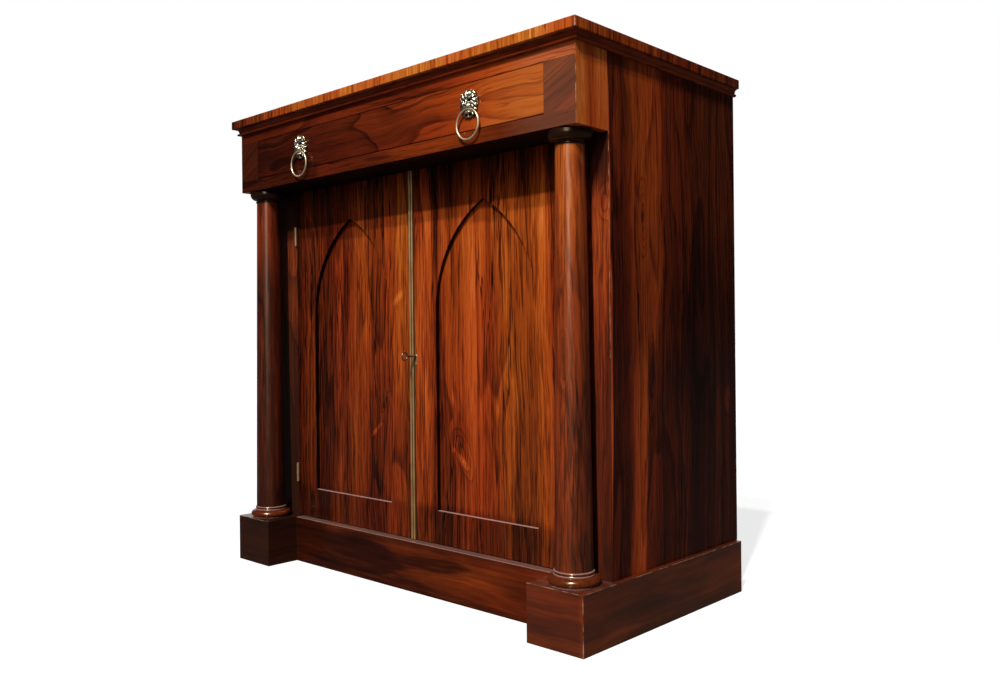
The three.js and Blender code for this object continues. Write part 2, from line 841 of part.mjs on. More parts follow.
function leftMeetingStile() {
  const pocket = box(
    [meetingEdge.left - boltThrow, meetingEdge.left + overrun],
    [boltFront - clearance, boltFront + boltThickness + clearance],
    [boltBottom - clearance, boltBottom + boltHeight + clearance],
  );
  return cut(doorStile(-1, meetingEdge.left, recessInner, 1), pocket);
}

function bottomRail(hand) {
  const rail = box([hand * recessInner, hand * recessOuter], [lowerFront, doorBack], bottomRailSpan);
  const groove = box(
    [hand * (recessInner - overrun), hand * (recessOuter + overrun)],
    [panelFront, panelBack],
    [recessBottom - grooveDepth, recessBottom + overrun],
  );
  return join(cut(rail, groove), ...tenons(hand, bottomRailSpan, 0));
}

// The upper rail and the two spandrels that hang from it in front of the panel.
function archRail(hand) {
  const rail = box([hand * recessInner, hand * recessOuter], [lowerFront, doorBack], crownRailSpan);
  const groove = box(
    [hand * (recessInner - overrun), hand * (recessOuter + overrun)],
    [panelFront, panelBack],
    [crownRailUnder - overrun, crownRailUnder + grooveDepth],
  );
  const spandrels = facePlate(spandrelOutline(hand * recessCentre), lowerFront, recessDepth);
  return join(cut(rail, groove), spandrels, ...tenons(hand, crownRailSpan, 0));
}

function doorPanel(hand) {
  return box(
    [hand * (recessInner - panelTongue), hand * (recessOuter + panelTongue)],
    [panelFront, panelBack],
    [recessBottom - panelTongue, crownRailUnder + panelTongue],
  );
}

// The brass strip's section: a flat back with two reeds, drawn in X and Y.
function meetingStrip() {
  const reeds = [-1, 1].flatMap((side) =>
    arcPoints(
      [(-side * reedSpacing) / 2, lowerFront - stripBase],
      [reedRadius, reedRadius], 0, -Math.PI, reedSteps));
  const half = stripWidth / 2;
  const shape = outline([
    [-half, lowerFront],
    [-half, lowerFront - stripBase],
    ...reeds.reverse(),
    [half, lowerFront - stripBase],
    [half, lowerFront],
  ]);
  return extrude(shape, doorTop - doorBottom).translate(0, 0, doorBottom);
}

// The leaf plate of a hinge on one side of its pin, cleared of the other leaf's knuckles.
function leafPlate(side, cleared) {
  const near = clearance / 2;
  const plate = box(
    [side * near, side * (near + leafThickness)],
    [0, lowerFront + leafReach - pinY],
    [-hingeLength / 2, hingeLength / 2],
  );
  const reach = knuckleRadius + clearance;
  return cut(plate, ...cleared.map((span) => box([-reach, reach], [-reach, reach], span)));
}

// The leaf let into the carcass, with two knuckles and the pin.
function frameLeaf() {
  const half = hingeLength / 2;
  const inner = knuckleLength / 2;
  const outer = inner + clearance;
  return join(
    leafPlate(1, [[-outer, outer]]),
    rod("z", knuckleRadius, outer, half),
    rod("z", knuckleRadius, -half, -outer),
    rod("z", hingePinRadius, -half, half),
  );
}

// The leaf let into the door, with the middle knuckle bored for the pin.
function doorLeaf() {
  const half = hingeLength / 2 + overrun;
  const inner = knuckleLength / 2;
  const plate = leafPlate(-1, [[inner, half], [-half, -inner]]);
  const knuckle = rod("z", knuckleRadius, -inner, inner);
  return cut(join(plate, knuckle), rod("z", hingePinRadius + clearance, -half, half));
}

function addHinges(frameGroup, doorGroup, word, hand) {
  for (const [place, height] of [["upper", upperHingeHeight], ["lower", lowerHingeHeight]]) {
    const leaves = [
      addPiece(frameGroup, `hinge_leaf_frame_${word}_${place}`, frameLeaf(), "brass"),
      addPiece(doorGroup, `hinge_leaf_door_${word}_${place}`, doorLeaf(), "brass"),
    ];
    for (const leaf of leaves) {
      leaf.position.set(hand * pinX, pinY, height);
      leaf.rotation.y = hand > 0 ? 0 : Math.PI;
    }
  }
}

function addDoors(frameGroup) {
  for (const [word, hand] of [["left", -1], ["right", 1]]) {
    const group = addGroup();
    const meeting = hand > 0 ? rightMeetingStile() : leftMeetingStile();
    addPiece(group, `door_${word}_hinge_stile`, hingeStile(hand), "veneer");
    addPiece(group, `door_${word}_meeting_stile`, meeting, "veneer");
    addPiece(group, `door_${word}_arch_rail`, archRail(hand), "veneer");
    addPiece(group, `door_${word}_bottom_rail`, bottomRail(hand), "veneer");
    addPiece(group, `door_${word}_panel`, doorPanel(hand), "veneer");
    addHinges(frameGroup, group, word, hand);
    if (hand > 0) {
      addPiece(group, "meeting_strip", meetingStrip(), "brass");
      addLock(group);
    }
  }
}

// The lock's case: a thin box with its keyhole in front and a slot for the bolt at its edge.
function lockCase() {
  const right = lockLeft + lockWidth;
  const top = lockBottom + lockHeight;
  const hollow = box(
    [lockLeft + lockWall, right - lockWall],
    [lockFront + lockWall, doorBack - lockWall],
    [lockBottom + lockWall, top - lockWall],
  );
  const boltSlot = box(
    [lockLeft - overrun, lockLeft + lockWall + overrun],
    [boltFront - clearance, boltFront + boltThickness + clearance],
    [boltBottom - clearance, boltBottom + boltHeight + clearance],
  );
  return cut(
    box([lockLeft, right], [lockFront, doorBack], [lockBottom, top]),
    hollow,
    boltSlot,
    keyhole(lockFront - overrun, lockFront + lockWall + clearance),
  );
}

function lockBolt() {
  return box(
    [lockLeft, lockLeft + boltLength],
    [boltFront, boltFront + boltThickness],
    [boltBottom, boltBottom + boltHeight],
  );
}

// The key, with its shank on Y through zero: an oval bow, a collar, the shank and a bit that points down.
function keyShape() {
  const bow = new THREE.TorusGeometry(bowRadius, bowWire, 10, 28).rotateY(Math.PI / 2);
  bow.scale(1, 1, bowStretch).translate(0, -bowReach, 0);
  const collarAt = bowRadius - bowReach + bowWire;
  const tip = doorBack - lockWall - clearance - lowerFront;
  return join(
    bow,
    rod("y", collarRadius, collarAt, collarAt + collarLength),
    rod("y", shankRadius, bowRadius - bowReach, tip),
    box([-bitThickness / 2, bitThickness / 2], [tip - bitWidth, tip], [-bitLength, 0]),
  );
}

function addLock(group) {
  addPiece(group, "lock_case", lockCase(), "iron");
  addPiece(group, "lock_bolt", lockBolt(), "brass");
  const key = addPiece(group, "key", keyShape(), "iron");
  key.position.set(keyX, lowerFront, keyZ);
}

const carcass = addGroup();
addTop(carcass);
addCarcass(carcass);
addPlinth(carcass);
addColumns(carcass);
addDrawer(addGroup());
addDoors(carcass);

export default chiffonier;
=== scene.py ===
"""Looks of the rosewood chiffonier: polished veneer, turned columns, lion-mask pulls and brass fittings."""

import math

import bmesh
import bpy
import numpy as np
from mathutils import Matrix, Vector


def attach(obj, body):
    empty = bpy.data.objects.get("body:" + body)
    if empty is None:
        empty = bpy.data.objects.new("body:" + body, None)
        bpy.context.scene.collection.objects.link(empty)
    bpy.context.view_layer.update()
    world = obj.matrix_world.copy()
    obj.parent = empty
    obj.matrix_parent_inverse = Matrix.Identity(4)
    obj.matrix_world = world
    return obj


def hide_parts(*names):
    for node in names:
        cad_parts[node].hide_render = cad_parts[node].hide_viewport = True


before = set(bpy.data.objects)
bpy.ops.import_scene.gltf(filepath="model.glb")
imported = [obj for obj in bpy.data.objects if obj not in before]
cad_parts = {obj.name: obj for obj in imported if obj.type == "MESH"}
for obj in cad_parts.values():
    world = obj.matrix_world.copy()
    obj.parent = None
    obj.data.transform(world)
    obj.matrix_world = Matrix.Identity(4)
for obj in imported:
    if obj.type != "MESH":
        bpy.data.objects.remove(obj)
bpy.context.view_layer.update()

MM = 0.001

# The usual soft edge of a mark, in millimetres
CRISP = 0.3

# Places on the cabinet, in millimetres, as the solids have them
FRIEZE_FRONT = -216
LOWER_FRONT = -140
PANEL_FRONT = -132
SIDE_FACE = 438
SOFFIT = 754
DRAWER_FLOOR = 776
DRAWER_TOP = 852.5
CARCASS_TOP = 884
TOP_HALF = 450
TOP_FRONT = -232
PLINTH_TOP = 89
PLINTH_FACE = 448
BLOCK_FRONT = -224
RECESS_UNDER = 148
RECESS_INNER = 61.8
RECESS_OUTER = 294.8
COLUMN_X = 398
COLUMN_Y = -180.5
PULL_X = 227.1
PULL_Z = 821
RING_Y = -222.5
RING_Z = 785.5
RING_RADIUS = 23.8
WIRE_RADIUS = 1.7
KEY_X = 9.0
KEY_Z = 419.5


# Nodes. Places are in metres, so a noise whose scale is 100 has cells 10 mm wide

def linear(code):
    """An sRGB hex colour as the linear values that Blender works in."""
    parts = [int(code[i : i + 2], 16) / 255 for i in (1, 3, 5)]
    return tuple(c / 12.92 if c <= 0.04045 else ((c + 0.055) / 1.055) ** 2.4 for c in parts) + (1.0,)


def grey(value):
    """A grey as the same linear values."""
    return (value, value, value, 1.0)


def put(tree, node, inputs):
    """Fills inputs of a node. One that is given a node or a socket is linked, and any other value is set. Of
    a node, the first output that is in use is taken, and text is a hex colour."""
    for name, value in inputs.items():
        if isinstance(value, bpy.types.Node):
            value = next(output for output in value.outputs if output.enabled)
        if isinstance(value, str):
            value = linear(value)
        if isinstance(value, bpy.types.NodeSocket):
            tree.links.new(value, node.inputs[name])
        else:
            node.inputs[name].default_value = value


def add(tree, kind, inputs=None, stops=None, **settings):
    """Adds one node with its settings, the stops of its ramp and its inputs."""
    node = tree.nodes.new("ShaderNode" + kind)
    for name, value in settings.items():
        setattr(node, name, value)
    if stops:
        ramp = node.color_ramp.elements
        while len(ramp) < len(stops):
            ramp.new(1.0)
        for element, (place, colour) in zip(ramp, stops):
            element.position = place
            element.color = linear(colour) if isinstance(colour, str) else grey(colour)
    put(tree, node, inputs or {})
    return node


def new_material(name):
    """A material with its tree, its shader and the piece's own coordinates in metres."""
    made = bpy.data.materials.new(name)
    made.use_nodes = True
    tree = made.node_tree
    return made, tree, tree.nodes["Principled BSDF"], add(tree, "TexCoord").outputs["Object"]


def weigh(tree, level, terms):
    """The level plus each term times its weight, where a term of a half changes nothing."""
    total = level - sum(weight / 2 for _, weight in terms)
    for term, weight in terms:
        total = add(tree, "Math", {0: term, 1: weight, 2: total}, operation="MULTIPLY_ADD")
    return total


def within(tree, place, limits, soft=CRISP):
    """1 inside a box given as {axis: (low, high)} in millimetres, falling to 0 over a soft edge."""
    apart = add(tree, "SeparateXYZ", {0: place})
    share = 1.0
    for axis, (low, high) in limits.items():
        half = (high - low) / 2
        off = add(tree, "Math", {0: apart.outputs[axis], 1: (low + high) / 2 * MM}, operation="SUBTRACT")
        off = add(tree, "Math", {0: off}, operation="ABSOLUTE")
        near = add(tree, "MapRange", {0: off, 1: (half - soft) * MM, 2: (half + soft) * MM, 3: 1.0, 4: 0.0})
        share = add(tree, "Math", {0: near, 1: share}, operation="MULTIPLY")
    return share


# Rosewood: its tones from dark to light, where the wood is orange and where it is red

ORANGE_TONES = [(0.0, "#120603"), (0.2, "#2E1006"), (0.38, "#5C260B"), (0.54, "#8C3F11"), (0.72, "#B4651F"),
                (1.0, "#D8984E")]
RED_TONES = [(0.0, "#100403"), (0.2, "#2A0B05"), (0.38, "#551B09"), (0.54, "#842E0E"), (0.72, "#A94A1A"),
             (1.0, "#C97A42")]
GROWTH_LINE = [(0.0, 0.0), (0.55, 0.08), (0.82, 0.5), (0.92, 1.0), (0.96, 0.9), (1.0, 0.0)]

# Noise cells per metre across the grain: bends 250 mm wide, bands 42 mm, streaks 8 mm, fibres and pores
# 2.5 mm with finer detail in them, slow waves of 167 mm for the growth lines, veins 50 mm apart in patches
# of 91 mm, and patches of red 111 mm wide
BENDS = 4.0
BANDS = 24
STREAKS = 120
FIBRES = 380
PORES = 400
GROWTH = 6.0
VEINS = 20
VEIN_PATCHES = 11
RED_PATCHES = 9


def rosewood(tree, place, along="Z", into="Y", shift=(0, 0, 0), level=0.51, bands=0.12, streaks=0.07,
             fine=0.21, lines=0.14, rings=9, flow=0.7, run=0.9, black=0.3, hairs=0.17, pores=0.08, wander=24,
             waves=1.5, red=0.0, sweeps=(), knots=()):
    """The figure of rosewood veneer. Its tone is a level plus broad bands, streaks and fine fibres, which
    are noises drawn out along the grain, less dark growth lines, the contours of a slow noise, less thin
    black veins and thinner dark hair lines, where noises cross their middle, and less the short dashes of
    the pores. All follow one slow bend. Real fibres and pores are about 0.1 mm wide, and these are drawn
    about 1 mm wide, so that they show. A knot is (centre, reach, strength, glow, tilt): the lines part
    round it, and it shines by its glow. A sweep is (axis, [(millimetres, tone), ...]) and makes the wood
    lighter or darker by place, only inside a box and its soft edge where it names them."""

    def spread(fast, slow):
        return tuple(slow if axis in (along, into) else fast for axis in "XYZ")

    def drawn(source, fast, slow, detail, rough=0.55):
        cut = add(tree, "VectorMath", {0: source, 1: spread(fast, slow)}, operation="MULTIPLY")
        return add(tree, "TexNoise", {"Vector": cut, "Scale": 1.0, "Detail": detail, "Roughness": rough})

    def off_middle(noise):
        off = add(tree, "Math", {0: noise, 1: 0.5}, operation="SUBTRACT")
        return add(tree, "Math", {0: off}, operation="ABSOLUTE")

    moved = add(tree, "VectorMath", {0: place, 1: shift}, operation="ADD")
    drift = drawn(moved, BENDS, waves, 3.5)
    sway = spread(2 * wander * MM, 0)
    bent = add(tree, "VectorMath", {0: drift.outputs["Color"], 1: sway, 2: place}, operation="MULTIPLY_ADD")
    bent = add(tree, "VectorMath", {0: bent, 1: tuple(s / 2 for s in sway)}, operation="SUBTRACT")
    turned_about = (into or "Y") + "_AXIS"
    swell, shine = 0.0, 0.0
    for centre, size, strength, glow, tilt in knots:
        off = add(tree, "VectorMath", {0: bent, 1: tuple(c * MM for c in centre)}, operation="SUBTRACT")
        off = add(tree, "VectorRotate", {"Vector": off, "Angle": math.radians(tilt)},
                  rotation_type=turned_about)
        shrink = tuple(1 / (s * MM) if s else 0 for s in size)
        scaled = add(tree, "VectorMath", {0: off, 1: shrink}, operation="MULTIPLY")
        far = add(tree, "VectorMath", {0: scaled}, operation="LENGTH").outputs["Value"]
        near = add(tree, "MapRange", {0: far, 3: 1.0, 4: 0.0}, interpolation_type="SMOOTHERSTEP")
        swell = add(tree, "Math", {0: near, 1: strength, 2: swell}, operation="MULTIPLY_ADD")
        shine = add(tree, "Math", {0: near, 1: glow, 2: shine}, operation="MULTIPLY_ADD")
        pinch = add(tree, "VectorMath", {0: off, 1: spread(-0.4, 0)}, operation="MULTIPLY")
        pinch = add(tree, "VectorMath", {0: pinch, 3: near}, operation="SCALE")
        bent = add(tree, "VectorMath", {0: bent, 1: pinch}, operation="ADD")
    grain = add(tree, "VectorMath", {0: bent, 1: shift}, operation="ADD")
    tone = drawn(grain, BANDS, run, 3.0)
    middle = drawn(grain, STREAKS, 3.0, 3.5, 0.6)
    fibre = drawn(grain, FIBRES, 13, 3.0, 0.65)
    growth = add(tree, "Math", {0: drawn(grain, GROWTH, flow, 2.5, 0.5), 1: swell}, operation="ADD")
    phase = add(tree, "Math", {0: growth, 1: float(rings)}, operation="MULTIPLY")
    phase = add(tree, "Math", {0: phase}, operation="FRACT")
    line = add(tree, "ValToRGB", {0: phase}, stops=GROWTH_LINE)
    vein = off_middle(drawn(grain, VEINS, 1.0, 5.0, 0.6))
    vein = add(tree, "MapRange", {0: vein, 1: 0.002, 2: 0.014, 3: 1.0, 4: 0.0},
               interpolation_type="SMOOTHSTEP")
    patch = add(tree, "MapRange", {0: drawn(grain, VEIN_PATCHES, 2.4, 2.0), 1: 0.44, 2: 0.6})
    vein = add(tree, "Math", {0: vein, 1: patch}, operation="MULTIPLY")
    pore = add(tree, "MapRange", {0: drawn(grain, PORES, 26, 1.0), 1: 0.56, 2: 0.66})
    hair = add(tree, "MapRange", {0: off_middle(middle), 1: 0.0, 2: 0.045, 3: 1.0, 4: 0.0},
               interpolation_type="SMOOTHSTEP")
    value = weigh(tree, level, [(tone, bands * 2), (middle, streaks * 2), (fibre, fine * 2)])
    for term, weight in ((line, lines), (vein, black), (pore, pores), (hair, hairs)):
        value = add(tree, "Math", {0: term, 1: -weight, 2: value}, operation="MULTIPLY_ADD")
    value = add(tree, "Math", {0: shine, 1: tone, 2: value}, operation="MULTIPLY_ADD")
    apart = add(tree, "SeparateXYZ", {0: bent})
    for axis, steps, *box in sweeps:
        low, high = steps[0][0], steps[-1][0]
        share = add(tree, "MapRange", {0: apart.outputs[axis], 1: low * MM, 2: high * MM})
        lift = add(tree, "ValToRGB", {0: share},
                   stops=[((at - low) / (high - low), 0.5 + rise) for at, rise in steps])
        lift = weigh(tree, 0.0, [(lift, 1.0)])
        inside = within(tree, place, *box) if box else 1.0
        value = add(tree, "Math", {0: lift, 1: inside, 2: value}, operation="MULTIPLY_ADD")
    warm = add(tree, "ValToRGB", {0: value}, stops=ORANGE_TONES)
    ruddy = add(tree, "ValToRGB", {0: value}, stops=RED_TONES)
    turn = weigh(tree, 0.5 + red, [(drawn(grain, RED_PATCHES, 1.1, 2.0), 3.0)])
    turn = add(tree, "Math", {0: turn, 1: 0.0}, operation="ADD", use_clamp=True)
    return add(tree, "Mix", {0: turn, 6: warm, 7: ruddy}, data_type="RGBA"), fibre


# Old French polish: how rough its film is, how strongly it mirrors, and the amber of the shellac

GLOSS = 0.22
SHINE = 0.22
AMBER = "#FFD8B4"


def polish(tree, shader, place, colour, fibre, marks, gloss=GLOSS, shine=SHINE):
    """Marks on the colour, of wear and dust and of painted light and shade, and a hand polish whose haze lies
    in clouds of 38 mm and which shows the fibres a little. A mark is (box, colour, strength, patchy, soft):
    the box and its soft edge are in millimetres, and a patchy mark is broken into spots of 14 mm."""
    blotch = add(tree, "TexNoise", {"Vector": place, "Scale": 70.0, "Detail": 3.0})
    blotch = add(tree, "MapRange", {0: blotch, 1: 0.38, 2: 0.62})
    for box, tint, strength, patchy, soft in marks:
        share = add(tree, "Math", {0: within(tree, place, box, soft), 1: strength}, operation="MULTIPLY")
        if patchy:
            share = add(tree, "Math", {0: share, 1: blotch}, operation="MULTIPLY")
        colour = add(tree, "Mix", {0: share, 6: colour, 7: tint}, data_type="RGBA")
    haze = add(tree, "TexNoise", {"Vector": place, "Scale": 26.0, "Detail": 3.0})
    rough = weigh(tree, gloss, [(haze, 0.1), (fibre, 0.06)])
    bump = add(tree, "Bump", {"Strength": 0.15, "Distance": 0.0002, "Height": fibre})
    put(tree, shader, {"Base Color": colour, "Roughness": rough, "Normal": bump, "IOR": 1.5,
                       "Specular IOR Level": shine, "Specular Tint": AMBER})


def veneer(name, marks=(), gloss=GLOSS, shine=SHINE, **figure):
    """Rosewood veneer, French polished: deep colour under a thin clear shine, with its marks of wear, dust
    and painted light and shade.
    """
    made, tree, shader, place = new_material(name)
    colour, fibre = rosewood(tree, place, **figure)
    polish(tree, shader, place, colour, fibre, marks, gloss, shine)
    return made


# Marks: pale edges, rubbed bare and painted as highlights where they face the lamps, pale dust in corners
# that also paints highlights on ledges and fillets, deep painted shade, and the milky bloom of old polish

RUBBED_AND_HIGHLIGHT = "#C79A74"
DUST_AND_HIGHLIGHT = "#C9A294"
SHADE = "#080303"
BLOOM = "#8E6C58"
STILE_BLOOM = "#4A2A1E"


def door_marks(side):
    """Painted shade on the reveals of the arched recess, and a pale ledge at its foot, dust with a painted
    highlight, on the door of one side.
    """
    across = tuple(sorted((side * (RECESS_INNER - 1), side * (RECESS_OUTER + 1))))
    depth = (LOWER_FRONT + 0.6, PANEL_FRONT - 0.4)
    reveal = {"X": across, "Y": depth, "Z": (RECESS_UNDER + 0.6, 700)}
    ledge = {"X": across, "Y": depth, "Z": (RECESS_UNDER - 1.2, RECESS_UNDER + 0.4)}
    return [(reveal, SHADE, 0.95, False, CRISP), (ledge, DUST_AND_HIGHLIGHT, 0.6, False, CRISP)]


# Tones by place: pairs of millimetres along one axis and how much lighter or darker the wood is there. Some
# of them also paint light and shade, as their own comments say

LEFT_DOOR_TONES = [(-356, -0.16), (-322, -0.06), (-306, 0.01), (-292, -0.16), (-272, -0.1), (-238, -0.06),
                   (-224, 0.05), (-208, -0.05), (-180, 0.0), (-144, 0.1), (-124, 0.0), (-96, -0.01),
                   (-66, 0.09), (-8, 0.11)]
RIGHT_DOOR_TONES = [(-6, 0.04), (14, 0.12), (32, 0.14), (46, -0.02), (58, -0.12), (68, -0.02), (108, -0.02),
                    (138, 0.12), (164, 0.08), (186, -0.01), (236, 0.03), (266, -0.06), (288, -0.03),
                    (304, 0.11), (318, 0.08), (330, -0.08), (342, -0.14), (352, -0.04)]
# The doors darken at the foot and, at the top, with painted shade under the frieze, which the right door's
# own table deepens
DOOR_HEIGHT_TONES = [(89, -0.17), (146, -0.17), (160, -0.07), (300, -0.04), (420, 0.0), (560, 0.03),
                     (640, 0.08), (700, 0.03), (760, -0.1)]
LEFT_DOOR_HEIGHT_TONES = [(89, 0.05), (146, 0.04), (160, 0.0), (500, 0.0), (560, -0.03), (760, -0.03)]
RIGHT_DOOR_HEIGHT_TONES = [(89, -0.07), (146, -0.06), (164, -0.03), (300, -0.03), (340, 0.0), (670, 0.0),
                           (706, -0.09), (754, -0.12)]
UNDER_RAIL_TONES = [(-438, -0.26), (-185, -0.24), (-168, -0.12), (-60, -0.16), (60, -0.09), (170, -0.04),
                    (260, -0.1), (390, -0.14), (438, -0.1)]
# The frieze and the drawer grow lighter towards the right, partly painted light falloff
FRIEZE_TONES = [(-438, -0.17), (-300, -0.16), (-170, -0.04), (-50, -0.02), (60, 0.02), (150, 0.05),
                (250, 0.13), (340, 0.2), (400, 0.26), (438, 0.22)]
DRAWER_TONES = [(-380, -0.24), (-270, -0.2), (-150, -0.17), (-50, -0.1), (40, -0.07), (120, 0.02),
                (200, 0.09), (280, 0.2), (380, 0.23)]
# The side's tones from front to back; its darkening towards the back is partly painted light falloff
SIDE_TONES = [(-216, 0.27), (-198, 0.28), (-186, 0.1), (-178, 0.14), (-162, 0.36), (-142.5, 0.3),
              (-140.5, -0.12), (-104, -0.1), (-84, 0.07), (-56, 0.08), (-24, 0.1), (-8, 0.02), (6, -0.08),
              (70, -0.08), (104, -0.18), (232, -0.16)]
SIDE_FLAME = [(-104, 0.0), (-92, 0.08), (-52, 0.12), (-47, 0.08), (-44, -0.16), (-20, -0.14), (20, -0.05),
              (120, -0.06), (160, 0.0)]
SIDE_TOP_TONES = [(-140, 0.0), (-132, 0.06), (-100, 0.06), (-88, 0.0)]
SIDE_HEIGHT_TONES = [(89, 0.02), (300, 0.02), (400, -0.03), (520, -0.01), (640, 0.07), (884, 0.09)]
# The stiles darken towards the floor and, from 700 mm up, with painted shade under the frieze and the
# capitals
STILE_HEIGHT_TONES = [(89, -0.3), (300, -0.22), (420, -0.14), (520, 0.0), (600, 0.06), (655, 0.04),
                      (700, -0.26), (754, -0.42)]
# On the right column the darker right edge is painted shade, and the shafts' lighter tops partly paint the
# highlight
COLUMN_TONES = [(-430, -0.13), (-370, -0.11), (366, 0.1), (380, 0.07), (396, 0.08), (410, 0.06), (430, -0.09)]
COLUMN_HEIGHT_TONES = [(104, -0.13), (180, -0.11), (300, -0.04), (480, 0.0), (600, 0.08), (740, 0.13)]
PLINTH_TONES = [(-448, -0.19), (-344, -0.22), (-200, -0.13), (0, -0.08), (110, -0.06), (220, 0.0),
                (300, -0.04), (345, 0.0), (400, 0.01), (438, 0.01), (446, 0.09)]
PLINTH_SIDE_TONES = [(-224, 0.0), (-120, 0.0), (-60, -0.07), (120, -0.05), (232, 0.0)]
TOP_EDGE_TONES = [(-450, -0.32), (-330, -0.2), (-200, -0.06), (-60, 0.0), (380, 0.06), (450, 0.02)]

materials = {}

# Left door: deep red-brown with upright bands, two golden flicks and a dark eye, darker towards the hinges as
# painted light falloff
materials["door_left"] = veneer(
    "rosewood_left_door", door_marks(-1), level=0.46, red=0.25, shift=(0.31, 0.0, 0.4),
    sweeps=[("X", LEFT_DOOR_TONES), ("Z", DOOR_HEIGHT_TONES), ("Z", LEFT_DOOR_HEIGHT_TONES)],
    knots=[((-108, 0, 281), (9, 0, 40), 0.1, 0.36, -52),
           ((-39, 0, 525), (11, 0, 34), 0.0, 0.3, -48),
           ((-84, 0, 330), (9, 0, 30), 0.2, -0.3, -30)])

# Right door: brighter and more orange, partly painted light nearer the lamps, with a flame-shaped knot low
# down and black flecks near the strip
materials["door_right"] = veneer(
    "rosewood_right_door", door_marks(1), level=0.56, red=0.08, shift=(1.3, 0.0, 0.1),
    sweeps=[("X", RIGHT_DOOR_TONES), ("Z", DOOR_HEIGHT_TONES), ("Z", RIGHT_DOOR_HEIGHT_TONES),
            # Painted shade under the frieze across the top of the door
            ("X", [(66, 0.0), (90, -0.08), (150, -0.1), (175, 0.0)], {"Z": (650, 800)}, 30),
            ("X", [(262, 0.0), (275, -0.06), (310, -0.07), (325, 0.0)], {"Z": (300, 470)}, 40),
            ("X", [(38, 0.0), (48, -0.2), (58, -0.16), (66, 0.0)], {"Z": (590, 790)}, 40)],
    knots=[((91, 0, 257), (7, 0, 7), 0.24, 0.4, 0),
           ((116, 0, 238), (11, 0, 36), 0.06, 0.42, 52),
           ((112, 0, 256), (30, 0, 70), 0.3, -0.06, 30),
           ((90, 0, 347), (3.5, 0, 22), 0.0, 0.5, 0),
           ((205, 0, 330), (5, 0, 24), 0.0, 0.36, 0)])

# Front stiles: a curly knot high up, a dull bloom, darker towards the floor, and painted shade at the top
# under the frieze
STILE_MARK = ({"Y": (LOWER_FRONT - 1, LOWER_FRONT + 0.4), "Z": (PLINTH_TOP, SOFFIT)}, STILE_BLOOM, 0.22,
              False, CRISP)
STILE_FIGURE = dict(
    level=0.57, hairs=0.14, shift=(0.9, 0.2, 0.0), rings=12, red=0.15,
    knots=[((424, 0, 650), (18, 0, 40), 0.14, 0.0, 0)],
    sweeps=[("X", [(-440, -0.22), (-356, -0.2), (356, 0.0), (440, 0.02)]), ("Z", STILE_HEIGHT_TONES)])
materials["front_stile"] = veneer("rosewood_front_stile", [STILE_MARK], **STILE_FIGURE)

# Column shafts: turned rosewood with a soft waxy sheen, orange above and brown below, the brighter top partly
# a painted highlight fading down the shaft
materials["column"] = veneer(
    "rosewood_column", level=0.46, red=0.6, hairs=0.14, fine=0.14, lines=0.1, shift=(0.2, 0.1, 0.6), into="",
    gloss=0.3, shine=1.0, wander=14, bands=0.1, rings=12, black=0.15,
    sweeps=[("X", COLUMN_TONES), ("Z", COLUMN_HEIGHT_TONES),
            # A painted highlight down the right column's front right, above 560 mm
            ("X", [(398, 0.0), (405, 0.08), (413, 0.08), (420, 0.0)], {"Z": (560, 860)}, 70),
            ("X", [(360, -0.08), (404, -0.08), (412, 0.0)], {"Z": (470, 600)}, 30)],
    knots=[((388, -204, 634), (10, 14, 36), 0.35, -0.14, 0),
           ((398, -205, 420), (12, 14, 56), 0.3, -0.2, 0)])

# Drawer front: long wavy figure from near black at the left to golden at the right, partly painted light
# falloff, with painted shade along its joints
materials["drawer"] = veneer(
    "rosewood_drawer", along="X", level=0.45, shift=(0.6, 0.3, 0.2), wander=32, waves=3.6, rings=13, flow=1.1,
    lines=0.15, red=0.3, streaks=0.06, hairs=0.05, fine=0.08, pores=0.04, black=0.1,
    sweeps=[("X", DRAWER_TONES)],
    marks=[({"X": (290, 420)}, "#A8743C", 0.14, False, 50),
           # Painted shade in the gaps above and below the drawer front
           ({"Z": (DRAWER_FLOOR, DRAWER_FLOOR + 1.9)}, SHADE, 0.75, False, 0.4),
           ({"Z": (DRAWER_TOP - 1.5, DRAWER_TOP)}, SHADE, 0.6, False, 0.4)])

# Moulding under the top: plain long grain, seen only as a red-brown line of light
materials["moulding"] = veneer(
    "rosewood_moulding", along="X", level=0.5, bands=0.1, streaks=0.06, lines=0.06, fine=0.06, hairs=0.04,
    black=0.1, shift=(0.4, 0.2, 0.2), red=0.5, gloss=0.24, shine=0.3)

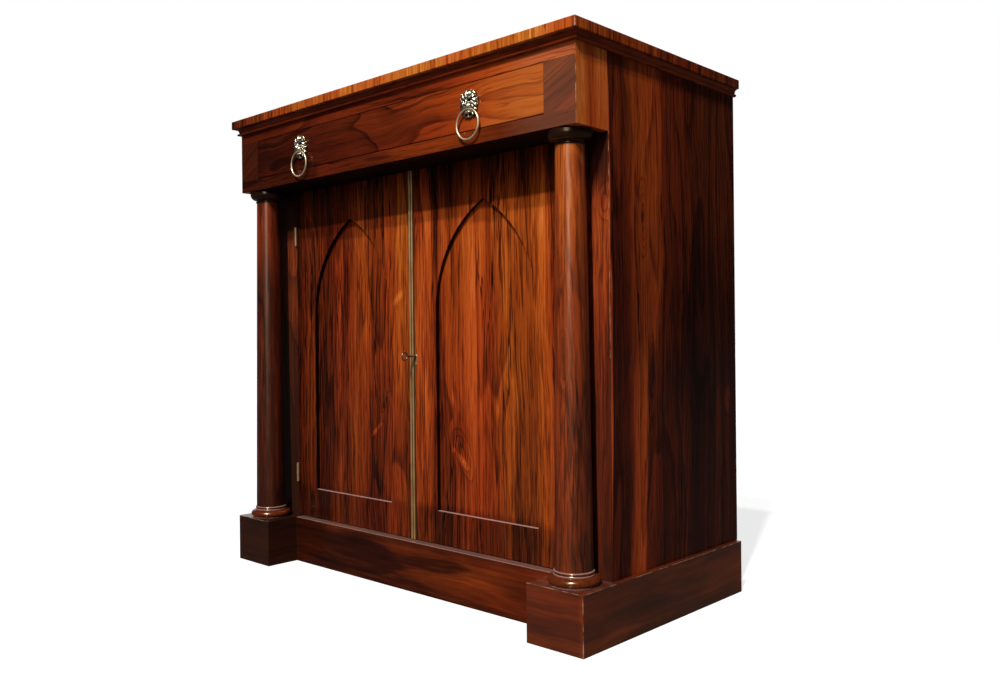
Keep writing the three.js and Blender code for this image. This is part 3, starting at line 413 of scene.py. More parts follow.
# Plinth: broad dark brown clouds, grey with age on the blocks, with pale edges, rubbed and painted as
# highlights, and dust on its top, with a painted highlight along the ledge
BLOCK_EDGE = (BLOCK_FRONT - 1, BLOCK_FRONT + 0.8)
FACE_EDGE = (PLINTH_FACE - 0.8, PLINTH_FACE + 1)
TOP_EDGE = (PLINTH_TOP - 0.8, PLINTH_TOP + 0.2)
LEDGE = (-342, 342)
materials["dark"] = veneer(
    "rosewood_plinth", along="X", level=0.36, bands=0.38, streaks=0.12, fine=0.08, lines=0.08, rings=5,
    flow=1.0, run=4.0, black=0.0, hairs=0.02, pores=0.01, wander=20, waves=2.0, shift=(0.2, 0.2, 0.2),
    red=0.05, sweeps=[("X", PLINTH_TONES), ("Y", PLINTH_SIDE_TONES)],
    marks=[({"X": (-460, -340)}, "#3A2C24", 0.12, False, CRISP),
           ({"X": (340, 460)}, "#2E221A", 0.42, False, CRISP),
           ({"X": (342, 450), "Y": (-225, -139), "Z": (88.6, 90)}, DUST_AND_HIGHLIGHT, 0.05, True, CRISP),
           ({"Z": (-1, 90), "X": (PLINTH_FACE - 0.4, PLINTH_FACE + 1)}, "#34281E", 0.4, False, CRISP),
           # Pale edges at the front and the near right corner: rubbed, and painted highlights
           ({"Z": TOP_EDGE, "Y": BLOCK_EDGE}, RUBBED_AND_HIGHLIGHT, 0.5, True, CRISP),
           ({"Z": TOP_EDGE, "X": FACE_EDGE}, RUBBED_AND_HIGHLIGHT, 0.4, True, CRISP),
           ({"X": (PLINTH_FACE - 1, PLINTH_FACE + 1), "Y": (BLOCK_FRONT - 1, BLOCK_FRONT + 1)},
            RUBBED_AND_HIGHLIGHT, 0.5, True, CRISP),
           # The ledge: dust, and a painted highlight along its front edge
           ({"X": LEDGE, "Y": (-158, -139), "Z": (88.6, 90)}, DUST_AND_HIGHLIGHT, 0.14, False, CRISP),
           ({"X": LEDGE, "Y": (-158, -154.5), "Z": (88.4, 90)}, DUST_AND_HIGHLIGHT, 0.22, False, CRISP)])

# Turned bases and capitals: nearly black and the glossiest wood here, lighter at the base, with painted shade
# on the capitals under the frieze, dust at the base's foot and painted highlights on its two fillets
materials["turned"] = veneer(
    "rosewood_turned", into="", level=0.24, bands=0.1, streaks=0.05, lines=0.04, black=0.0, hairs=0.03,
    fine=0.06, shift=(0.7, 0.2, 0.2), gloss=0.24, shine=1.0,
    sweeps=[("Z", [(89, 0.14), (110, 0.08), (730, -0.12), (754, -0.16)])],
    marks=[({"Z": (88.5, 90.0)}, DUST_AND_HIGHLIGHT, 0.6, False, CRISP),
           # Painted highlights on the base's two fillets
           ({"Z": (103.9, 105.3)}, DUST_AND_HIGHLIGHT, 0.3, False, 0.4),
           ({"Z": (109.2, 110.6)}, DUST_AND_HIGHLIGHT, 0.3, False, 0.4)])

# The slant of the figure on the frieze's two blocks, in degrees, and the dark colour laid over the left one
SLANT_ANGLE = 26
BLOCK_SHADE = "#260B06"


def frieze_figure(tree, place):
    """Long grain on the rails of the frieze, and a slanting figure on the two blocks beside the drawer."""
    rail, fibre = rosewood(
        tree, place, along="X", shift=(0.3, 0.6, 0.1), level=0.48, streaks=0.05, hairs=0.06, fine=0.07,
        pores=0.05, black=0.25, red=0.2,
        sweeps=[("X", FRIEZE_TONES, {"Z": (SOFFIT + 30, CARCASS_TOP + 1)}),
                ("X", UNDER_RAIL_TONES, {"Z": (SOFFIT - 1, DRAWER_FLOOR + 1)})])
    tilted = add(tree, "Mapping", {"Vector": place, "Rotation": (0, math.radians(SLANT_ANGLE), 0)})
    slant = rosewood(
        tree, tilted, along="X", shift=(0.1, 0.6, 0.7), level=0.41, bands=0.08, streaks=0.06, fine=0.12,
        hairs=0.1, wander=6, lines=0.06, black=0.0, pores=0.02, red=-0.4)[0]
    apart = add(tree, "SeparateXYZ", {0: place})
    left = add(tree, "Math", {0: apart.outputs["X"], 1: 0.0}, operation="LESS_THAN")
    left = add(tree, "Math", {0: left, 1: 0.75}, operation="MULTIPLY")
    slant = add(tree, "Mix", {0: left, 6: slant, 7: BLOCK_SHADE}, data_type="RGBA")
    block = within(tree, place, {"Z": (DRAWER_FLOOR, DRAWER_TOP)})
    colour = add(tree, "Mix", {0: block, 6: rail, 7: slant}, data_type="RGBA")
    right_end = within(tree, place, {"X": (330, 520)}, 40)
    bloom = add(tree, "Math", {0: right_end, 1: 0.15}, operation="MULTIPLY")
    return add(tree, "Mix", {0: bloom, 6: colour, 7: BLOOM}, data_type="RGBA"), fibre


def side_veneer():
    """Each side is one sheet of upright veneer, dark and quiet behind a lighter band with two eyes and, low
    down, a pointed flame; its darkening towards the back is partly painted light falloff. Its front edges go
    with the frieze and with the stiles, and its front arrises are pale, rubbed and painted as highlights."""
    made, tree, shader, place = new_material("rosewood_side")
    upright, fibre = rosewood(
        tree, place, into="X", level=0.39, red=0.32, black=0.2, shift=(0, 0.7, 0.2), wander=26, rings=12,
        bands=0.08, hairs=0.08, lines=0.12, fine=0.12,
        sweeps=[("Y", SIDE_TONES), ("Z", SIDE_HEIGHT_TONES), ("Y", SIDE_FLAME, {"Z": (60, 420)}, 30),
                ("Y", SIDE_TOP_TONES, {"Z": (690, 900)}, 40)],
        knots=[((0, -59, 636), (0, 20, 86), 0.34, -0.1, 0),
               ((0, -60, 636), (0, 5, 16), 0.1, -0.4, 0),
               ((0, -7, 656), (0, 5, 34), 0.1, -0.35, 0),
               ((0, 196, 340), (0, 20, 40), 0.3, 0.3, 0),
               ((0, -36, 408), (0, 14, 70), 0.2, -0.2, 0)])
    frieze = frieze_figure(tree, place)[0]
    stile = rosewood(tree, place, **STILE_FIGURE)[0]
    front = within(tree, place, {"Y": (FRIEZE_FRONT - 1, FRIEZE_FRONT + 0.4)})
    lower = within(tree, place, {"Y": (LOWER_FRONT - 1, LOWER_FRONT + 0.4), "Z": (0, SOFFIT)})
    colour = add(tree, "Mix", {0: front, 6: upright, 7: frieze}, data_type="RGBA")
    colour = add(tree, "Mix", {0: lower, 6: colour, 7: stile}, data_type="RGBA")
    # The front arrises: rubbed, and painted highlights
    frieze_edge = {"X": (SIDE_FACE - 0.9, SIDE_FACE + 1), "Y": (FRIEZE_FRONT - 1, FRIEZE_FRONT + 0.9),
                   "Z": (SOFFIT, DRAWER_TOP)}
    lower_edge = {"X": (SIDE_FACE - 0.8, SIDE_FACE + 1), "Y": (LOWER_FRONT - 1, LOWER_FRONT + 0.8),
                  "Z": (420, SOFFIT)}
    polish(tree, shader, place, colour, fibre,
           [STILE_MARK, (frieze_edge, RUBBED_AND_HIGHLIGHT, 0.55, True, CRISP), (lower_edge, RUBBED_AND_HIGHLIGHT, 0.4, True, CRISP)])
    return made


def frieze_veneer():
    """The parts of the frieze that don't move: red-brown at the left and paler at the right, partly painted
    light falloff. The underside is painted nearly black as shade, and left rough."""
    made, tree, shader, place = new_material("rosewood_frieze")
    colour, fibre = frieze_figure(tree, place)
    under = {"Z": (SOFFIT - 1, SOFFIT + 0.2)}
    polish(tree, shader, place, colour, fibre, [(under, SHADE, 0.8, False, 0.1)])
    polished = shader.inputs["Roughness"].links[0].from_socket
    rough = add(tree, "Math", {0: within(tree, place, under, 0.1), 1: 0.5, 2: polished},
                operation="MULTIPLY_ADD")
    put(tree, shader, {"Roughness": rough})
    return made


# The width of the top's border, in millimetres
CROSS_BAND = 34


def top_veneer():
    """The top: long grain inside a cross-banded border, whose short grain turns over and down the edges."""
    made, tree, shader, place = new_material("rosewood_top")
    field, fibre = rosewood(tree, place, along="X", into="Z", shift=(0.5, 0.4, 0.0), level=0.5)
    front = rosewood(tree, place, shift=(0.5, 0.2, 0.0), level=0.74, rings=14, wander=4, bands=0.1,
                     sweeps=[("X", TOP_EDGE_TONES)])[0]
    side = rosewood(tree, place, into="X", shift=(0.1, 0.9, 0.0), level=0.53, red=0.2, rings=14, wander=4,
                    sweeps=[("Y", [(-232, 0.06), (-60, 0.0), (232, -0.16)])])[0]
    apart = add(tree, "SeparateXYZ", {0: place})
    reach = add(tree, "Math", {0: apart.outputs["X"]}, operation="ABSOLUTE")
    reach_back = add(tree, "Math", {0: apart.outputs["Y"]}, operation="ABSOLUTE")
    to_end = add(tree, "Math", {0: TOP_HALF * MM, 1: reach}, operation="SUBTRACT")
    to_front = add(tree, "Math", {0: -TOP_FRONT * MM, 1: reach_back}, operation="SUBTRACT")
    mitre = add(tree, "Math", {0: to_end, 1: to_front}, operation="LESS_THAN")
    nearest = add(tree, "Math", {0: to_end, 1: to_front}, operation="MINIMUM")
    border = add(tree, "Math", {0: nearest, 1: CROSS_BAND * MM}, operation="LESS_THAN")
    band = add(tree, "Mix", {0: mitre, 6: front, 7: side}, data_type="RGBA")
    colour = add(tree, "Mix", {0: border, 6: field, 7: band}, data_type="RGBA")
    # The front right corner is pale: rubbed, and painted as a highlight
    corner = {"X": (TOP_HALF - 1.4, TOP_HALF + 1), "Y": (TOP_FRONT - 1, TOP_FRONT + 1.4)}
    polish(tree, shader, place, colour, fibre, [(corner, "#E3CDBB", 0.9, True, CRISP)])
    return made


materials["side"] = side_veneer()
materials["frieze"] = frieze_veneer()
materials["top"] = top_veneer()


# Other materials

# Pine from light to dark, its rings, and the back's boards: their width in millimetres, and how far apart
# they lie in the noise
PINE_TONES = [(0.0, "#B98F58"), (0.45, "#A97C47"), (0.8, "#8E6134"), (1.0, "#6E4624")]
PINE_RINGS = 34.0
BOARD_WIDTH = 164
BOARD_JUMP = 7.3


def pine(name, along, into, board=None):
    """Planed pine, never polished: straw-coloured early wood between thin brown late wood a few millimetres
    apart, gone tan with age, and soiled in clouds of 110 mm. Where a board's width is given, in millimetres,
    the piece is glued up from upright boards with fine dark joints and a figure of their own."""
    made, tree, shader, place = new_material(name)
    fast, slow = 14, 0.8
    scale = tuple(slow if axis in (along, into) else fast for axis in "XYZ")
    cut = add(tree, "VectorMath", {0: place, 1: scale}, operation="MULTIPLY")
    joint = 0.0
    if board:
        across = add(tree, "SeparateXYZ", {0: place})
        count = add(tree, "Math", {0: across, 1: board * MM}, operation="DIVIDE")
        whole = add(tree, "Math", {0: count}, operation="FLOOR")
        apart = add(tree, "Math", {0: whole, 1: BOARD_JUMP}, operation="MULTIPLY")
        apart = add(tree, "CombineXYZ", {"X": apart, "Z": apart})
        cut = add(tree, "VectorMath", {0: cut, 1: apart}, operation="ADD")
        edge = add(tree, "Math", {0: count, 1: 0.5}, operation="PINGPONG")
        joint = add(tree, "MapRange", {0: edge, 1: 0.004, 2: 0.012, 3: 1.0, 4: 0.0})
    growth = add(tree, "TexNoise", {"Vector": cut, "Scale": 1.0, "Detail": 1.5})
    phase = add(tree, "Math", {0: growth, 1: PINE_RINGS}, operation="MULTIPLY")
    phase = add(tree, "Math", {0: phase}, operation="FRACT")
    soil = add(tree, "TexNoise", {"Vector": place, "Scale": 9.0, "Detail": 5.0})
    tone = weigh(tree, 0.5, [(phase, 0.6), (soil, 0.8)])
    colour = add(tree, "ValToRGB", {0: tone}, stops=PINE_TONES)
    colour = add(tree, "Mix", {0: joint, 6: colour, 7: "#2A1A0E"}, data_type="RGBA")
    rough = weigh(tree, 0.62, [(phase, 0.12)])
    bump = add(tree, "Bump", {"Strength": 0.2, "Distance": 0.0003, "Height": phase})
    put(tree, shader, {"Base Color": colour, "Roughness": rough, "Normal": bump})
    return made


def metal(name, bright, dull, roughness, patches=60.0, metallic=1.0, dark_bands=()):
    """Old metal: the bright colour shows through patches of the dull one, so many to a metre, and the dull
    parts are rougher. A dark band is (low, high), in millimetres across the piece: in a groove it is old
    polish, at an edge it is painted shade."""
    made, tree, shader, place = new_material(name)
    tarnish = add(tree, "TexNoise", {"Vector": place, "Scale": patches, "Detail": 4.0})
    share = add(tree, "MapRange", {0: tarnish, 1: 0.3, 2: 0.7})
    colour = add(tree, "Mix", {0: share, 6: bright, 7: dull}, data_type="RGBA")
    # The dark bands: old polish in the middle groove, painted shade along the edges
    for limits in dark_bands:
        groove = within(tree, place, {"X": limits}, 0.5)
        soiled = add(tree, "Math", {0: groove, 1: 0.85}, operation="MULTIPLY")
        colour = add(tree, "Mix", {0: soiled, 6: colour, 7: "#1E140D"}, data_type="RGBA")
    rough = weigh(tree, roughness, [(share, 0.14)])
    put(tree, shader, {"Base Color": colour, "Roughness": rough, "Metallic": metallic})
    return made


# Cast brass from its hollows to its high parts
CAST_TONES = [(0.0, "#120C08"), (0.36, "#3A2C1E"), (0.52, "#8F8266"), (0.7, "#D2C8B0"), (1.0, "#F2ECDD")]


def cast_brass():
    """Cast brass of the masks, its lacquer gone: silvery where hands rub the high parts, near black in the
    hollows, with the sand's grain of 1 mm. The attribute relief holds how far a point stands out."""
    made, tree, shader, place = new_material("brass_cast_rubbed")
    relief = add(tree, "Attribute", attribute_name="relief", attribute_type="GEOMETRY")
    speck = add(tree, "TexNoise", {"Vector": place, "Scale": 900.0, "Detail": 3.0})
    share = weigh(tree, 0.0, [(speck, 0.24)])
    share = add(tree, "Math", {0: relief.outputs["Fac"], 1: share}, operation="ADD", use_clamp=True)
    colour = add(tree, "ValToRGB", {0: share}, stops=CAST_TONES)
    rough = weigh(tree, 0.34, [(share, -0.16)])
    put(tree, shader, {"Base Color": colour, "Roughness": rough, "Metallic": 1.0})
    return made


# Pine inside, pale and matt: flat boards, boards on edge, the back's upright boards, boards front to back
materials["pine_flat"] = pine("pine_planed_flat", "X", "Z")
materials["pine_long"] = pine("pine_planed_long", "X", "Y")
materials["pine_boards"] = pine("pine_planed_boards", "Z", "Y", BOARD_WIDTH)
materials["pine_deep"] = pine("pine_planed_deep", "Y", "X")

materials["mask"] = cast_brass()

# Round brass wire of the rings: the palest metal here, because hands keep it rubbed
materials["ring"] = metal("brass_ring_rubbed", "#F6E4C2", "#D6B888", 0.34, metallic=0.8)

# Drawn brass of hinges, bolt and escutcheon: brownish and dull, with broad soft lights
materials["brass"] = metal("brass_drawn_dull", "#C09870", "#9A7650", 0.42, 30.0, 0.7)

# Drawn and reeded brass of the meeting strip: two thin upright lights between a dark middle groove of old
# polish and edges darkened with painted shade
STRIP_DARK_BANDS = [(-7.0, -5.2), (-1.0, 0.8), (5.2, 7.0)]
materials["strip"] = metal("brass_reeded_dull", "#C49A64", "#967243", 0.42, 30.0, 0.7, STRIP_DARK_BANDS)

# Filed iron of key and lock case: grey-brown, without a sharp light
materials["iron"] = metal("iron_filed_dull", "#94857A", "#5A4A40", 0.42)

# The material of a solid, by the start of its name: the first that fits
LOOK_OF = (
    ("door_left", "door_left"), ("door_right", "door_right"), ("side_", "side"),
    ("front_stile", "front_stile"), ("column_shaft", "column"), ("column_", "turned"),
    ("plinth_back", "pine_long"), ("plinth", "dark"), ("top_moulding", "moulding"), ("top_board", "top"),
    ("drawer_front", "drawer"), ("drawer_back", "pine_long"), ("drawer_bottom", "pine_flat"),
    ("drawer_", "pine_deep"), ("cupboard_floor", "pine_flat"), ("shelf", "pine_flat"),
    ("back_board", "pine_boards"), ("frieze", "frieze"), ("divider", "frieze"), ("lion_mask", "mask"),
    ("pull_ring", "ring"), ("hinge", "brass"), ("meeting_strip", "strip"), ("lock_bolt", "brass"),
    ("lock_case", "iron"), ("key", "iron"),
)

# How far the edges of a solid are eased, in millimetres
EASED = {"top_board": 0.7, "drawer_front": 0.4, "shelf": 0.8, "drawer_back": 0.6, "lock_case": 0.4,
         "meeting_strip": 0.3}


def dress(node):
    """Gives a solid its material, and takes the sharpness off its edges where nothing joins them."""
    key = next(found for start, found in LOOK_OF if node.name.startswith(start))
    node.data.materials.clear()
    node.data.materials.append(materials[key])
    if node.name in EASED:
        weld = node.modifiers.new("joined", "WELD")
        weld.merge_threshold = 1e-5
        bevel = node.modifiers.new("eased_edges", "BEVEL")
        bevel.width = EASED[node.name] * MM
        bevel.segments = 2
        bevel.limit_method = "ANGLE"
        bevel.angle_limit = math.radians(40)


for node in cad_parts.values():
    dress(node)


# New pieces

def new_object(name, data):
    """A new object in the scene."""
    made = bpy.data.objects.new(name, data)
    bpy.context.scene.collection.objects.link(made)
    return made


def turned(profile, centre, axis="Z", steps=96):
    """A lathe surface: the profile's (radius, place along the axis) pairs carried round the axis."""
    profile = np.asarray(profile, float)
    angle = np.linspace(0, 2 * np.pi, steps, endpoint=False)
    radius, along = profile[:, :1], np.repeat(profile[:, 1:], steps, axis=1)
    one, two = radius * np.cos(angle), radius * np.sin(angle)
    rows = (one, two, along) if axis == "Z" else (one, along, two)
    return np.stack(rows, axis=-1) + np.asarray(centre, float)


def curve(centre, radii, first, last, count):
    """Points of a profile on an ellipse, from one angle to another in degrees."""
    angle = np.radians(np.linspace(first, last, count))
    across, up = radii
    return np.column_stack((centre[0] + across * np.cos(angle), centre[1] + up * np.sin(angle)))


def joined_grid(grid, close_rows):
    """A grid of points as points and triangles: its columns run round and meet, and its rows too if asked.
    Points in one place become one, triangles without area go, and the faces are turned outwards."""
    rows, columns = grid.shape[:2]
    number = np.arange(rows * columns).reshape(rows, columns)
    number = np.hstack((number, number[:, :1]))
    if close_rows:
        number = np.vstack((number, number[:1]))
    corners = (number[:-1, :-1], number[:-1, 1:], number[1:, 1:], number[1:, :-1])
    quads = np.stack(corners, axis=-1).reshape(-1, 4)
    points, same = np.unique(np.round(grid.reshape(-1, 3), 4), axis=0, return_inverse=True)
    quads = same.reshape(-1)[quads]
    faces = np.concatenate((quads[:, [0, 1, 2]], quads[:, [0, 2, 3]]))
    whole = (faces[:, 0] != faces[:, 1]) & (faces[:, 1] != faces[:, 2]) & (faces[:, 2] != faces[:, 0])
    faces = faces[whole]
    a, b, c = (points[faces[:, i]] for i in range(3))
    if np.einsum("ij,ij->", a, np.cross(b, c)) < 0:
        faces = faces[:, ::-1]
    return points, faces


def build(name, grids, body, material, replaced, sharp=35, close_rows=False, relief=None):
    """Makes one piece from its grids, in millimetres, smooth except across edges sharper than an angle."""
    points, faces, start = [], [], 0
    for grid in grids:
        some, more = joined_grid(grid, close_rows)
        points.append(some)
        faces.append(more + start)
        start += len(some)
    points, faces = np.vstack(points), np.vstack(faces)
    mesh = bpy.data.meshes.new(name)
    mesh.from_pydata(points * MM, [], faces)
    mesh.polygons.foreach_set("use_smooth", np.ones(len(faces), bool))
    mesh.set_sharp_from_angle(angle=math.radians(sharp))
    if relief is not None:
        held = mesh.attributes.new("relief", "FLOAT", "POINT")
        held.data.foreach_set("value", relief(points).astype(np.float32))
    mesh.materials.append(materials[material])
    piece = new_object(name, mesh)
    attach(piece, body)
    if replaced:
        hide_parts(replaced)


# Profiles of the columns, as radius and height in millimetres from the bottom up: the base has a dowel, a
# bold round and a thin bead, the shaft tapers, and the capital has a bead, a hollow cup and a round edge

SHAFT_BOTTOM = 110.5
SHAFT_TOP = 731.5
BASE_PROFILE = np.vstack((
    [(0, 74.3), (12, 74.3), (12, PLINTH_TOP), (36.5, PLINTH_TOP)], curve((31.5, 96), (8.0, 7.0), -75, 90, 22),
    [(31.5, 104.6), (29.9, 104.9), (29.3, 105.8), (29.9, 106.5)],
    curve((29.4, 108.4), (1.7, 1.9), -90, 90, 10), [(28.4, SHAFT_BOTTOM), (0, SHAFT_BOTTOM)]))
SHAFT_SIDE = np.column_stack((np.linspace(28.8, 22.4, 24), np.linspace(SHAFT_BOTTOM, SHAFT_TOP, 24)))
SHAFT_PROFILE = np.vstack(([(0, SHAFT_BOTTOM)], SHAFT_SIDE, [(0, SHAFT_TOP)]))
CAPITAL_PROFILE = np.vstack((
    [(0, SHAFT_TOP), (22.6, SHAFT_TOP)], curve((22.6, 733.2), (1.6, 1.7), -90, 90, 8),
    [(22.8, 735.2), (24.2, 737.4)], curve((24.4, 748.4), (10.6, 10.9), -84, 0, 20),
    curve((33.8, 751.4), (1.2, 2.4), 0, 84, 6), [(33.8, SOFFIT), (0, SOFFIT)]))

for side, mark in (("left", -1), ("right", 1)):
    for part, profile, look in (("base", BASE_PROFILE, "turned"), ("shaft", SHAFT_PROFILE, "column"),
                                ("capital", CAPITAL_PROFILE, "turned")):
        build(f"turned_{part}_{side}", [turned(profile, (mark * COLUMN_X, COLUMN_Y, 0))], "carcass", look,
              f"column_{part}_{side}")


# The masks: their scale and, in millimetres before it, their reach to the side, up and down and how far the
# mane's middle lies below the face's, and then how many locks go round it

MASK_SCALE = 1.13
MASK_WIDE = 17.2
MASK_UP = 18.6
MASK_DOWN = 20.6
MANE_DROP = 2.0
LOCKS = 15


def hill(across, up, width, height):
    """A smooth hill of height 1 whose middle is where both distances are zero."""
    return np.exp(-((across / width) ** 2) - (up / height) ** 2)


def lion_height(a, b):
    """How far the lion's mask stands off the drawer, in millimetres, at a across and b up from its middle.
    A low dome carries hills and hollows, and in the mane waves run round and outwards as locks. A trough
    follows the ring, so that it hangs free through the mouth."""
    off = np.hypot(a, b - (RING_Z - PULL_Z)) - RING_RADIUS
    a, b = a / MASK_SCALE, b / MASK_SCALE
    side = np.abs(a)
    turn, reach = np.arctan2(a, b + MANE_DROP), np.hypot(a / 17.5, (b + MANE_DROP) / 20.0)
    height = 1.6 + 5.0 * np.sqrt(np.clip(1.04 - reach ** 2, 0, None))
    mane = np.clip((reach - 0.5) / 0.2, 0, 1)
    curl = np.cos(LOCKS * turn + 2.6 * np.sin(5 * reach)) + 0.5 * np.cos(27 * turn - 9 * reach)
    tiers = np.cos(15 * (reach - 0.62)) * 0.7
    height = height + mane * (1.05 * curl + tiers)
    for strength, across, up, width, tall in (
            # Forehead and brows
            (2.2, a, b - 7.6, 6.0, 3.6), (2.7, side - 4.8, b - 4.4 - 0.3 * (side - 4.8), 3.2, 1.4),
            # Sockets and eyes
            (-3.8, side - 4.5, b - 1.5, 2.5, 1.6), (1.5, side - 4.3, b - 1.4, 1.0, 0.7),
            # Ridge and tip of the nose, and nostrils
            (3.6, a, b + 1.2, 1.7, 5.0), (3.0, a, b + 4.6, 2.7, 1.5), (-2.2, side - 1.5, b + 5.5, 0.7, 0.5),
            # Muzzle and its cleft, cheeks, and the folds between them
            (3.8, side - 2.7, b + 7.4, 2.5, 1.9), (-1.4, a, b + 7.6, 0.5, 1.8),
            (2.3, side - 8.2, b + 2.6, 2.6, 3.4), (-1.8, side - 5.9, b + 5.4, 0.9, 3.0),
            # Ears and their hollows
            (2.6, side - 10.6, b - 10.2, 2.3, 2.3), (-2.0, side - 10.3, b - 9.9, 1.1, 1.1),
            # Crease of the forehead, chin, and partings of the beard
            (-1.0, a, b - 8.5, 0.6, 3.0), (4.2, a, b + 15.4, 4.0, 1.7),
            (-1.2, side - 2.0, b + 18.4, 0.5, 2.6)):
        height = height + strength * hill(across, up, width, tall)
    trough = np.exp(-((off / 2.5) ** 4))
    return height * (1 - trough) + np.minimum(height, 2.6) * trough


def lion_mask(side, mark):
    """A mask on a polar grid whose rim is scalloped by the locks, with a flat back and a post behind it."""
    share = np.linspace(0, 1, 66)[:, None]
    turn = np.linspace(0, 2 * np.pi, 192, endpoint=False)[None, :]
    locks = MASK_SCALE * (1 + 0.035 * np.cos(LOCKS * turn))
    wide, tall = MASK_WIDE * locks, np.where(np.cos(turn) > 0, MASK_UP, MASK_DOWN) * locks
    a, b = share * wide * np.sin(turn), share * tall * np.cos(turn) - MANE_DROP
    middle = np.array((mark * PULL_X, FRIEZE_FRONT, PULL_Z))
    face = np.stack((a, -lion_height(a, b), b), axis=-1)
    rim = face[-1:] * (1, 0, 1)
    back = np.array((0, 0, -MANE_DROP)) + np.zeros_like(rim)
    grid = np.concatenate((face, rim, back)) + middle
    post = turned([(0, FRIEZE_FRONT - 1), (2.5, FRIEZE_FRONT - 1), (2.5, -196.4), (2.1, -196), (0, -196)],
                  (mark * PULL_X, 0, PULL_Z), "Y", 24)

    def relief(points):
        """Height above the mean height 1.3 mm away in eight directions, scaled about a half."""
        x, z = points[:, 0] - middle[0], points[:, 2] - middle[2]
        around = [lion_height(x + 1.3 * np.cos(t), z + 1.3 * np.sin(t)) for t in np.arange(8) * np.pi / 4]
        out = 0.56 + 0.55 * (lion_height(x, z) - np.mean(around, axis=0)) + 0.012 * (lion_height(x, z) - 6)
        return np.clip(np.where(points[:, 1] > FRIEZE_FRONT - 0.5, 0.1, out), 0, 1)

    build(f"mask_{side}", [grid, post], "drawer", "mask", f"lion_mask_{side}", sharp=70, relief=relief)


def pull_ring(side, mark):
    """A ring of round wire, a little thinner at the top where it has worn in the mouth."""
    round_ring = np.linspace(0, 2 * np.pi, 128, endpoint=False)[:, None]
    round_wire = np.linspace(0, 2 * np.pi, 24, endpoint=False)[None, :]
    wire = WIRE_RADIUS * (1 - 0.08 * np.clip(np.cos(round_ring), 0, 1) ** 6)
    reach = RING_RADIUS + wire * np.cos(round_wire)
    grid = np.stack((mark * PULL_X + reach * np.sin(round_ring), RING_Y + wire * np.sin(round_wire),
                     RING_Z + reach * np.cos(round_ring)), axis=-1)
    build(f"ring_{side}", [grid], f"pull_{side}", "ring", f"pull_ring_{side}", close_rows=True)


def keyhole(radius, skirt, foot):
    """A keyhole outline: a round head, then sides that spread down to a foot. Points run once round it."""
    head = np.radians(np.linspace(-50, 230, 40))
    line = np.column_stack((radius * np.cos(head), radius * np.sin(head)))
    left = line[-1] + np.linspace(0, 1, 10)[1:, None] * (np.array((-skirt, foot)) - line[-1])
    under = np.column_stack((np.linspace(-skirt, skirt, 8)[1:-1], np.full(6, foot)))
    right = np.array((skirt, foot)) + np.linspace(0, 1, 10)[:-1, None] * (line[0] - np.array((skirt, foot)))
    return np.vstack((line, left, under, right))


# The escutcheon's rows from the hole outwards: radius, skirt and foot of its outline, and how far it stands
# off the door, in millimetres
PLATE_ROWS = ((2.1, 1.3, -13.0, 0.0), (2.1, 1.3, -13.0, 0.7), (2.4, 1.6, -13.3, 1.0),
              (3.3, 2.9, -14.9, 1.0), (3.6, 3.2, -15.2, 0.7), (3.6, 3.2, -15.2, 0.0))
STRIP_EDGE = 6.7


def escutcheon():
    """The thin brass plate round the keyhole: one keyhole outline inside another, hard against the strip."""
    rows = []
    for radius, skirt, foot, front in PLATE_ROWS:
        line = keyhole(radius, skirt, foot)
        across = np.maximum(KEY_X + line[:, 0], STRIP_EDGE - 0.15 * (radius < 3) + 0.1 * (radius < 2.2))
        rows.append(np.column_stack((across, np.full(len(line), LOWER_FRONT - front), KEY_Z + line[:, 1])))
    build("keyhole_escutcheon", [np.stack(rows)], "door_right", "brass", None, close_rows=True)


# The body that a smooth copy rides on, by the start of its name. Any other rides on the carcass
BODY_OF = {"hinge_leaf_door_left": "door_left", "hinge_leaf_door_right": "door_right", "key": "key"}


def smooth_copy(name):
    """A copy of a solid with its loose triangles joined and its round parts shaded round."""
    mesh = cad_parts[name].data.copy()
    work = bmesh.new()
    work.from_mesh(mesh)
    bmesh.ops.remove_doubles(work, verts=work.verts, dist=1e-6)
    work.to_mesh(mesh)
    work.free()
    if "custom_normal" in mesh.attributes:
        mesh.attributes.remove(mesh.attributes["custom_normal"])
    mesh.polygons.foreach_set("use_smooth", np.ones(len(mesh.polygons), bool))
    mesh.set_sharp_from_angle(angle=math.radians(40))
    copy = new_object("fine_" + name, mesh)
    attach(copy, next((body for start, body in BODY_OF.items() if name.startswith(start)), "carcass"))
    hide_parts(name)


for side, mark in (("left", -1), ("right", 1)):
    lion_mask(side, mark)
    pull_ring(side, mark)
escutcheon()
for name in list(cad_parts):
    if name.startswith(("hinge_leaf", "top_moulding")) or name == "key":
        smooth_copy(name)


# Studio

# The photograph's camera: place in metres, turn about the upright, tilt and roll in degrees, and lens in
# millimetres, all worked out from the cabinet's corners and edges
CAMERA_PLACE = (1.23688, -1.23324, 0.4533)
CAMERA_TURN = (43.0523, -0.1066, -0.5701)
CAMERA_LENS = 32.862


def place_camera():
    """The photograph's camera: level, at about half the cabinet's height, off its front right corner."""
    data = bpy.data.cameras.new("photo_camera")
    data.sensor_fit = "HORIZONTAL"
    data.sensor_width = 36
    data.lens = CAMERA_LENS
    data.clip_start, data.clip_end = 0.05, 100
    camera = new_object("photo_camera", data)
    yaw, pitch, roll = (math.radians(a) for a in CAMERA_TURN)
    ahead = Vector((-math.sin(yaw) * math.cos(pitch), math.cos(yaw) * math.cos(pitch), math.sin(pitch)))
    level = Vector((math.cos(yaw), math.sin(yaw), 0))
    above = level.cross(ahead)
    right = level * math.cos(roll) + above * math.sin(roll)
    up = above * math.cos(roll) - level * math.sin(roll)
    turn = Matrix((right, up, -ahead)).transposed().to_4x4()
    turn.translation = CAMERA_PLACE
    camera.matrix_world = turn
    bpy.context.scene.camera = camera


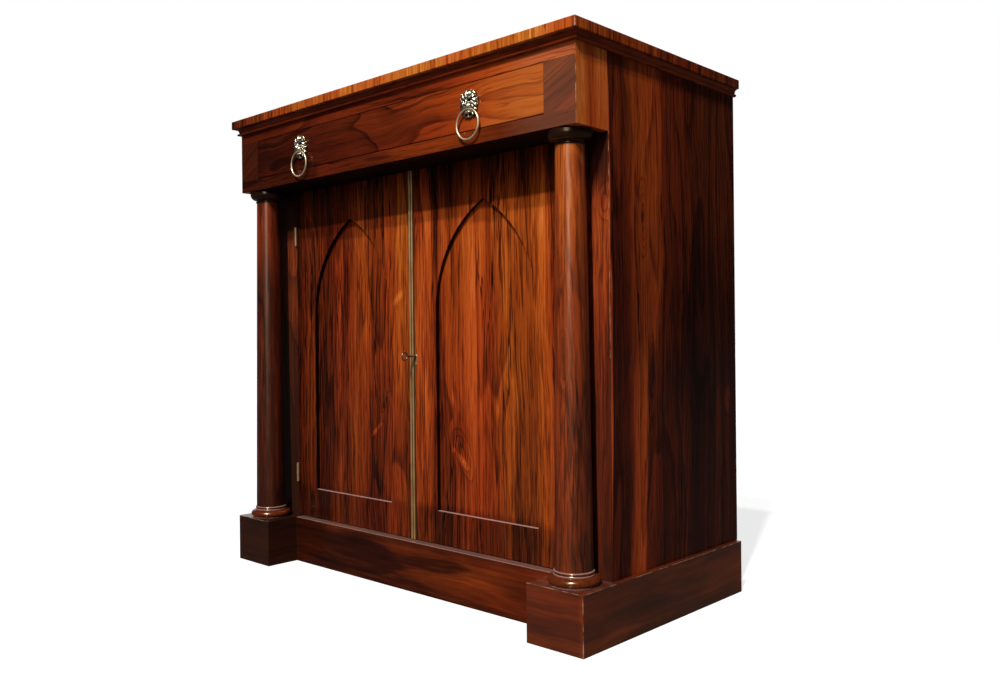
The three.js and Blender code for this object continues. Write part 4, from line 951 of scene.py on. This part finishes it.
def add_lamp(name, kind, azimuth, height, power, distance=0.0, aim=(0, 0, 0), **settings):
    """A lamp that shines on the aim: azimuth is degrees to the right of straight in front, height is degrees
    above level, and a distance puts it that many metres from the aim."""
    data = bpy.data.lights.new(name, kind)
    data.energy = power
    for setting, value in settings.items():
        setattr(data, setting, value)
    lamp = new_object(name, data)
    a, h = math.radians(azimuth), math.radians(height)
    towards = Vector((math.sin(a) * math.cos(h), -math.cos(a) * math.cos(h), math.sin(h)))
    lamp.location = Vector(aim) + towards * distance
    lamp.rotation_euler = towards.to_track_quat("Z", "Y").to_euler()


def seen(tree, mirrored):
    """1 for rays of the camera, and the mirrored share for rays that a mirror or glass sends on."""
    rays = add(tree, "LightPath")
    onward = add(tree, "Math", {0: rays.outputs["Is Glossy Ray"], 1: rays.outputs["Is Transmission Ray"]},
                 operation="MAXIMUM")
    onward = add(tree, "Math", {0: onward, 1: mirrored}, operation="MULTIPLY")
    return add(tree, "Math", {0: rays.outputs["Is Camera Ray"], 1: onward}, operation="MAXIMUM")


# The way to the backdrop, the side of the lamps and the heights of the two suns, in degrees: they stand 6.5
# degrees apart, so that their shadows have soft edges
BACKDROP_WAY = (-0.68, 0.73, 0.0)
LAMP_SIDE = 22
SUN_HEIGHTS = (("key_lower", 43.4), ("key_upper", 49.9))
SUN_POWER = 2.55


def light_studio():
    """A dark room with a white backdrop behind the cabinet, a pale floor, two suns and a tall strip lamp
    for the highlights on the columns. The backdrop lights the back and the left side softly."""
    scene = bpy.context.scene
    scene.view_settings.view_transform = "Standard"
    world = bpy.data.worlds.new("studio")
    scene.world = world
    world.use_nodes = True
    tree = world.node_tree
    way = add(tree, "TexCoord").outputs["Generated"]
    behind = add(tree, "VectorMath", {0: way, 1: BACKDROP_WAY}, operation="DOT_PRODUCT").outputs["Value"]
    backdrop = add(tree, "MapRange", {0: behind, 1: 0.75, 2: 0.95, 3: 0.015, 4: 1.0})
    bounce = add(tree, "MapRange", {0: behind, 1: 0.1, 2: 0.9, 3: 0.045, 4: 0.9})
    colour = add(tree, "Mix", {0: seen(tree, 1.0), 6: bounce, 7: grey(0.0)}, data_type="RGBA")
    colour = add(tree, "Mix", {0: seen(tree, backdrop), 6: colour, 7: grey(1.0)}, data_type="RGBA")
    put(tree, tree.nodes["Background"], {"Color": colour})

    mesh = bpy.data.meshes.new("studio_floor")
    mesh.from_pydata([(-30, -30, 0), (30, -30, 0), (30, 30, 0), (-30, 30, 0)], [], [(0, 1, 2, 3)])
    floor = new_object("studio_floor", mesh)

    # Matt paper: pale to the camera, nearly black in the polish, and grey for the light that it throws up
    made, tree, shader, _ = new_material("paper_pale")
    share = seen(tree, 0.02)
    tint = add(tree, "Mix", {0: seen(tree, 1.0), 6: grey(0.14), 7: grey(0.03)}, data_type="RGBA")
    tint = add(tree, "Mix", {0: share, 6: tint, 7: grey(0.25)}, data_type="RGBA")
    glow = add(tree, "Math", {0: share, 1: 0.76}, operation="MULTIPLY")
    put(tree, shader, {"Base Color": tint, "Roughness": 1.0, "Specular IOR Level": 0.0,
                       "Emission Color": grey(1.0), "Emission Strength": glow})
    mesh.materials.append(made)

    for name, height in SUN_HEIGHTS:
        add_lamp(name, "SUN", LAMP_SIDE, height, SUN_POWER, angle=math.radians(2))
    right_column = (COLUMN_X * MM, -0.18, 0.5)
    add_lamp("tall_strip", "AREA", LAMP_SIDE, 20, 17, 3.0, right_column, shape="RECTANGLE", size=0.95,
             size_y=1.8)


place_camera()
light_studio()
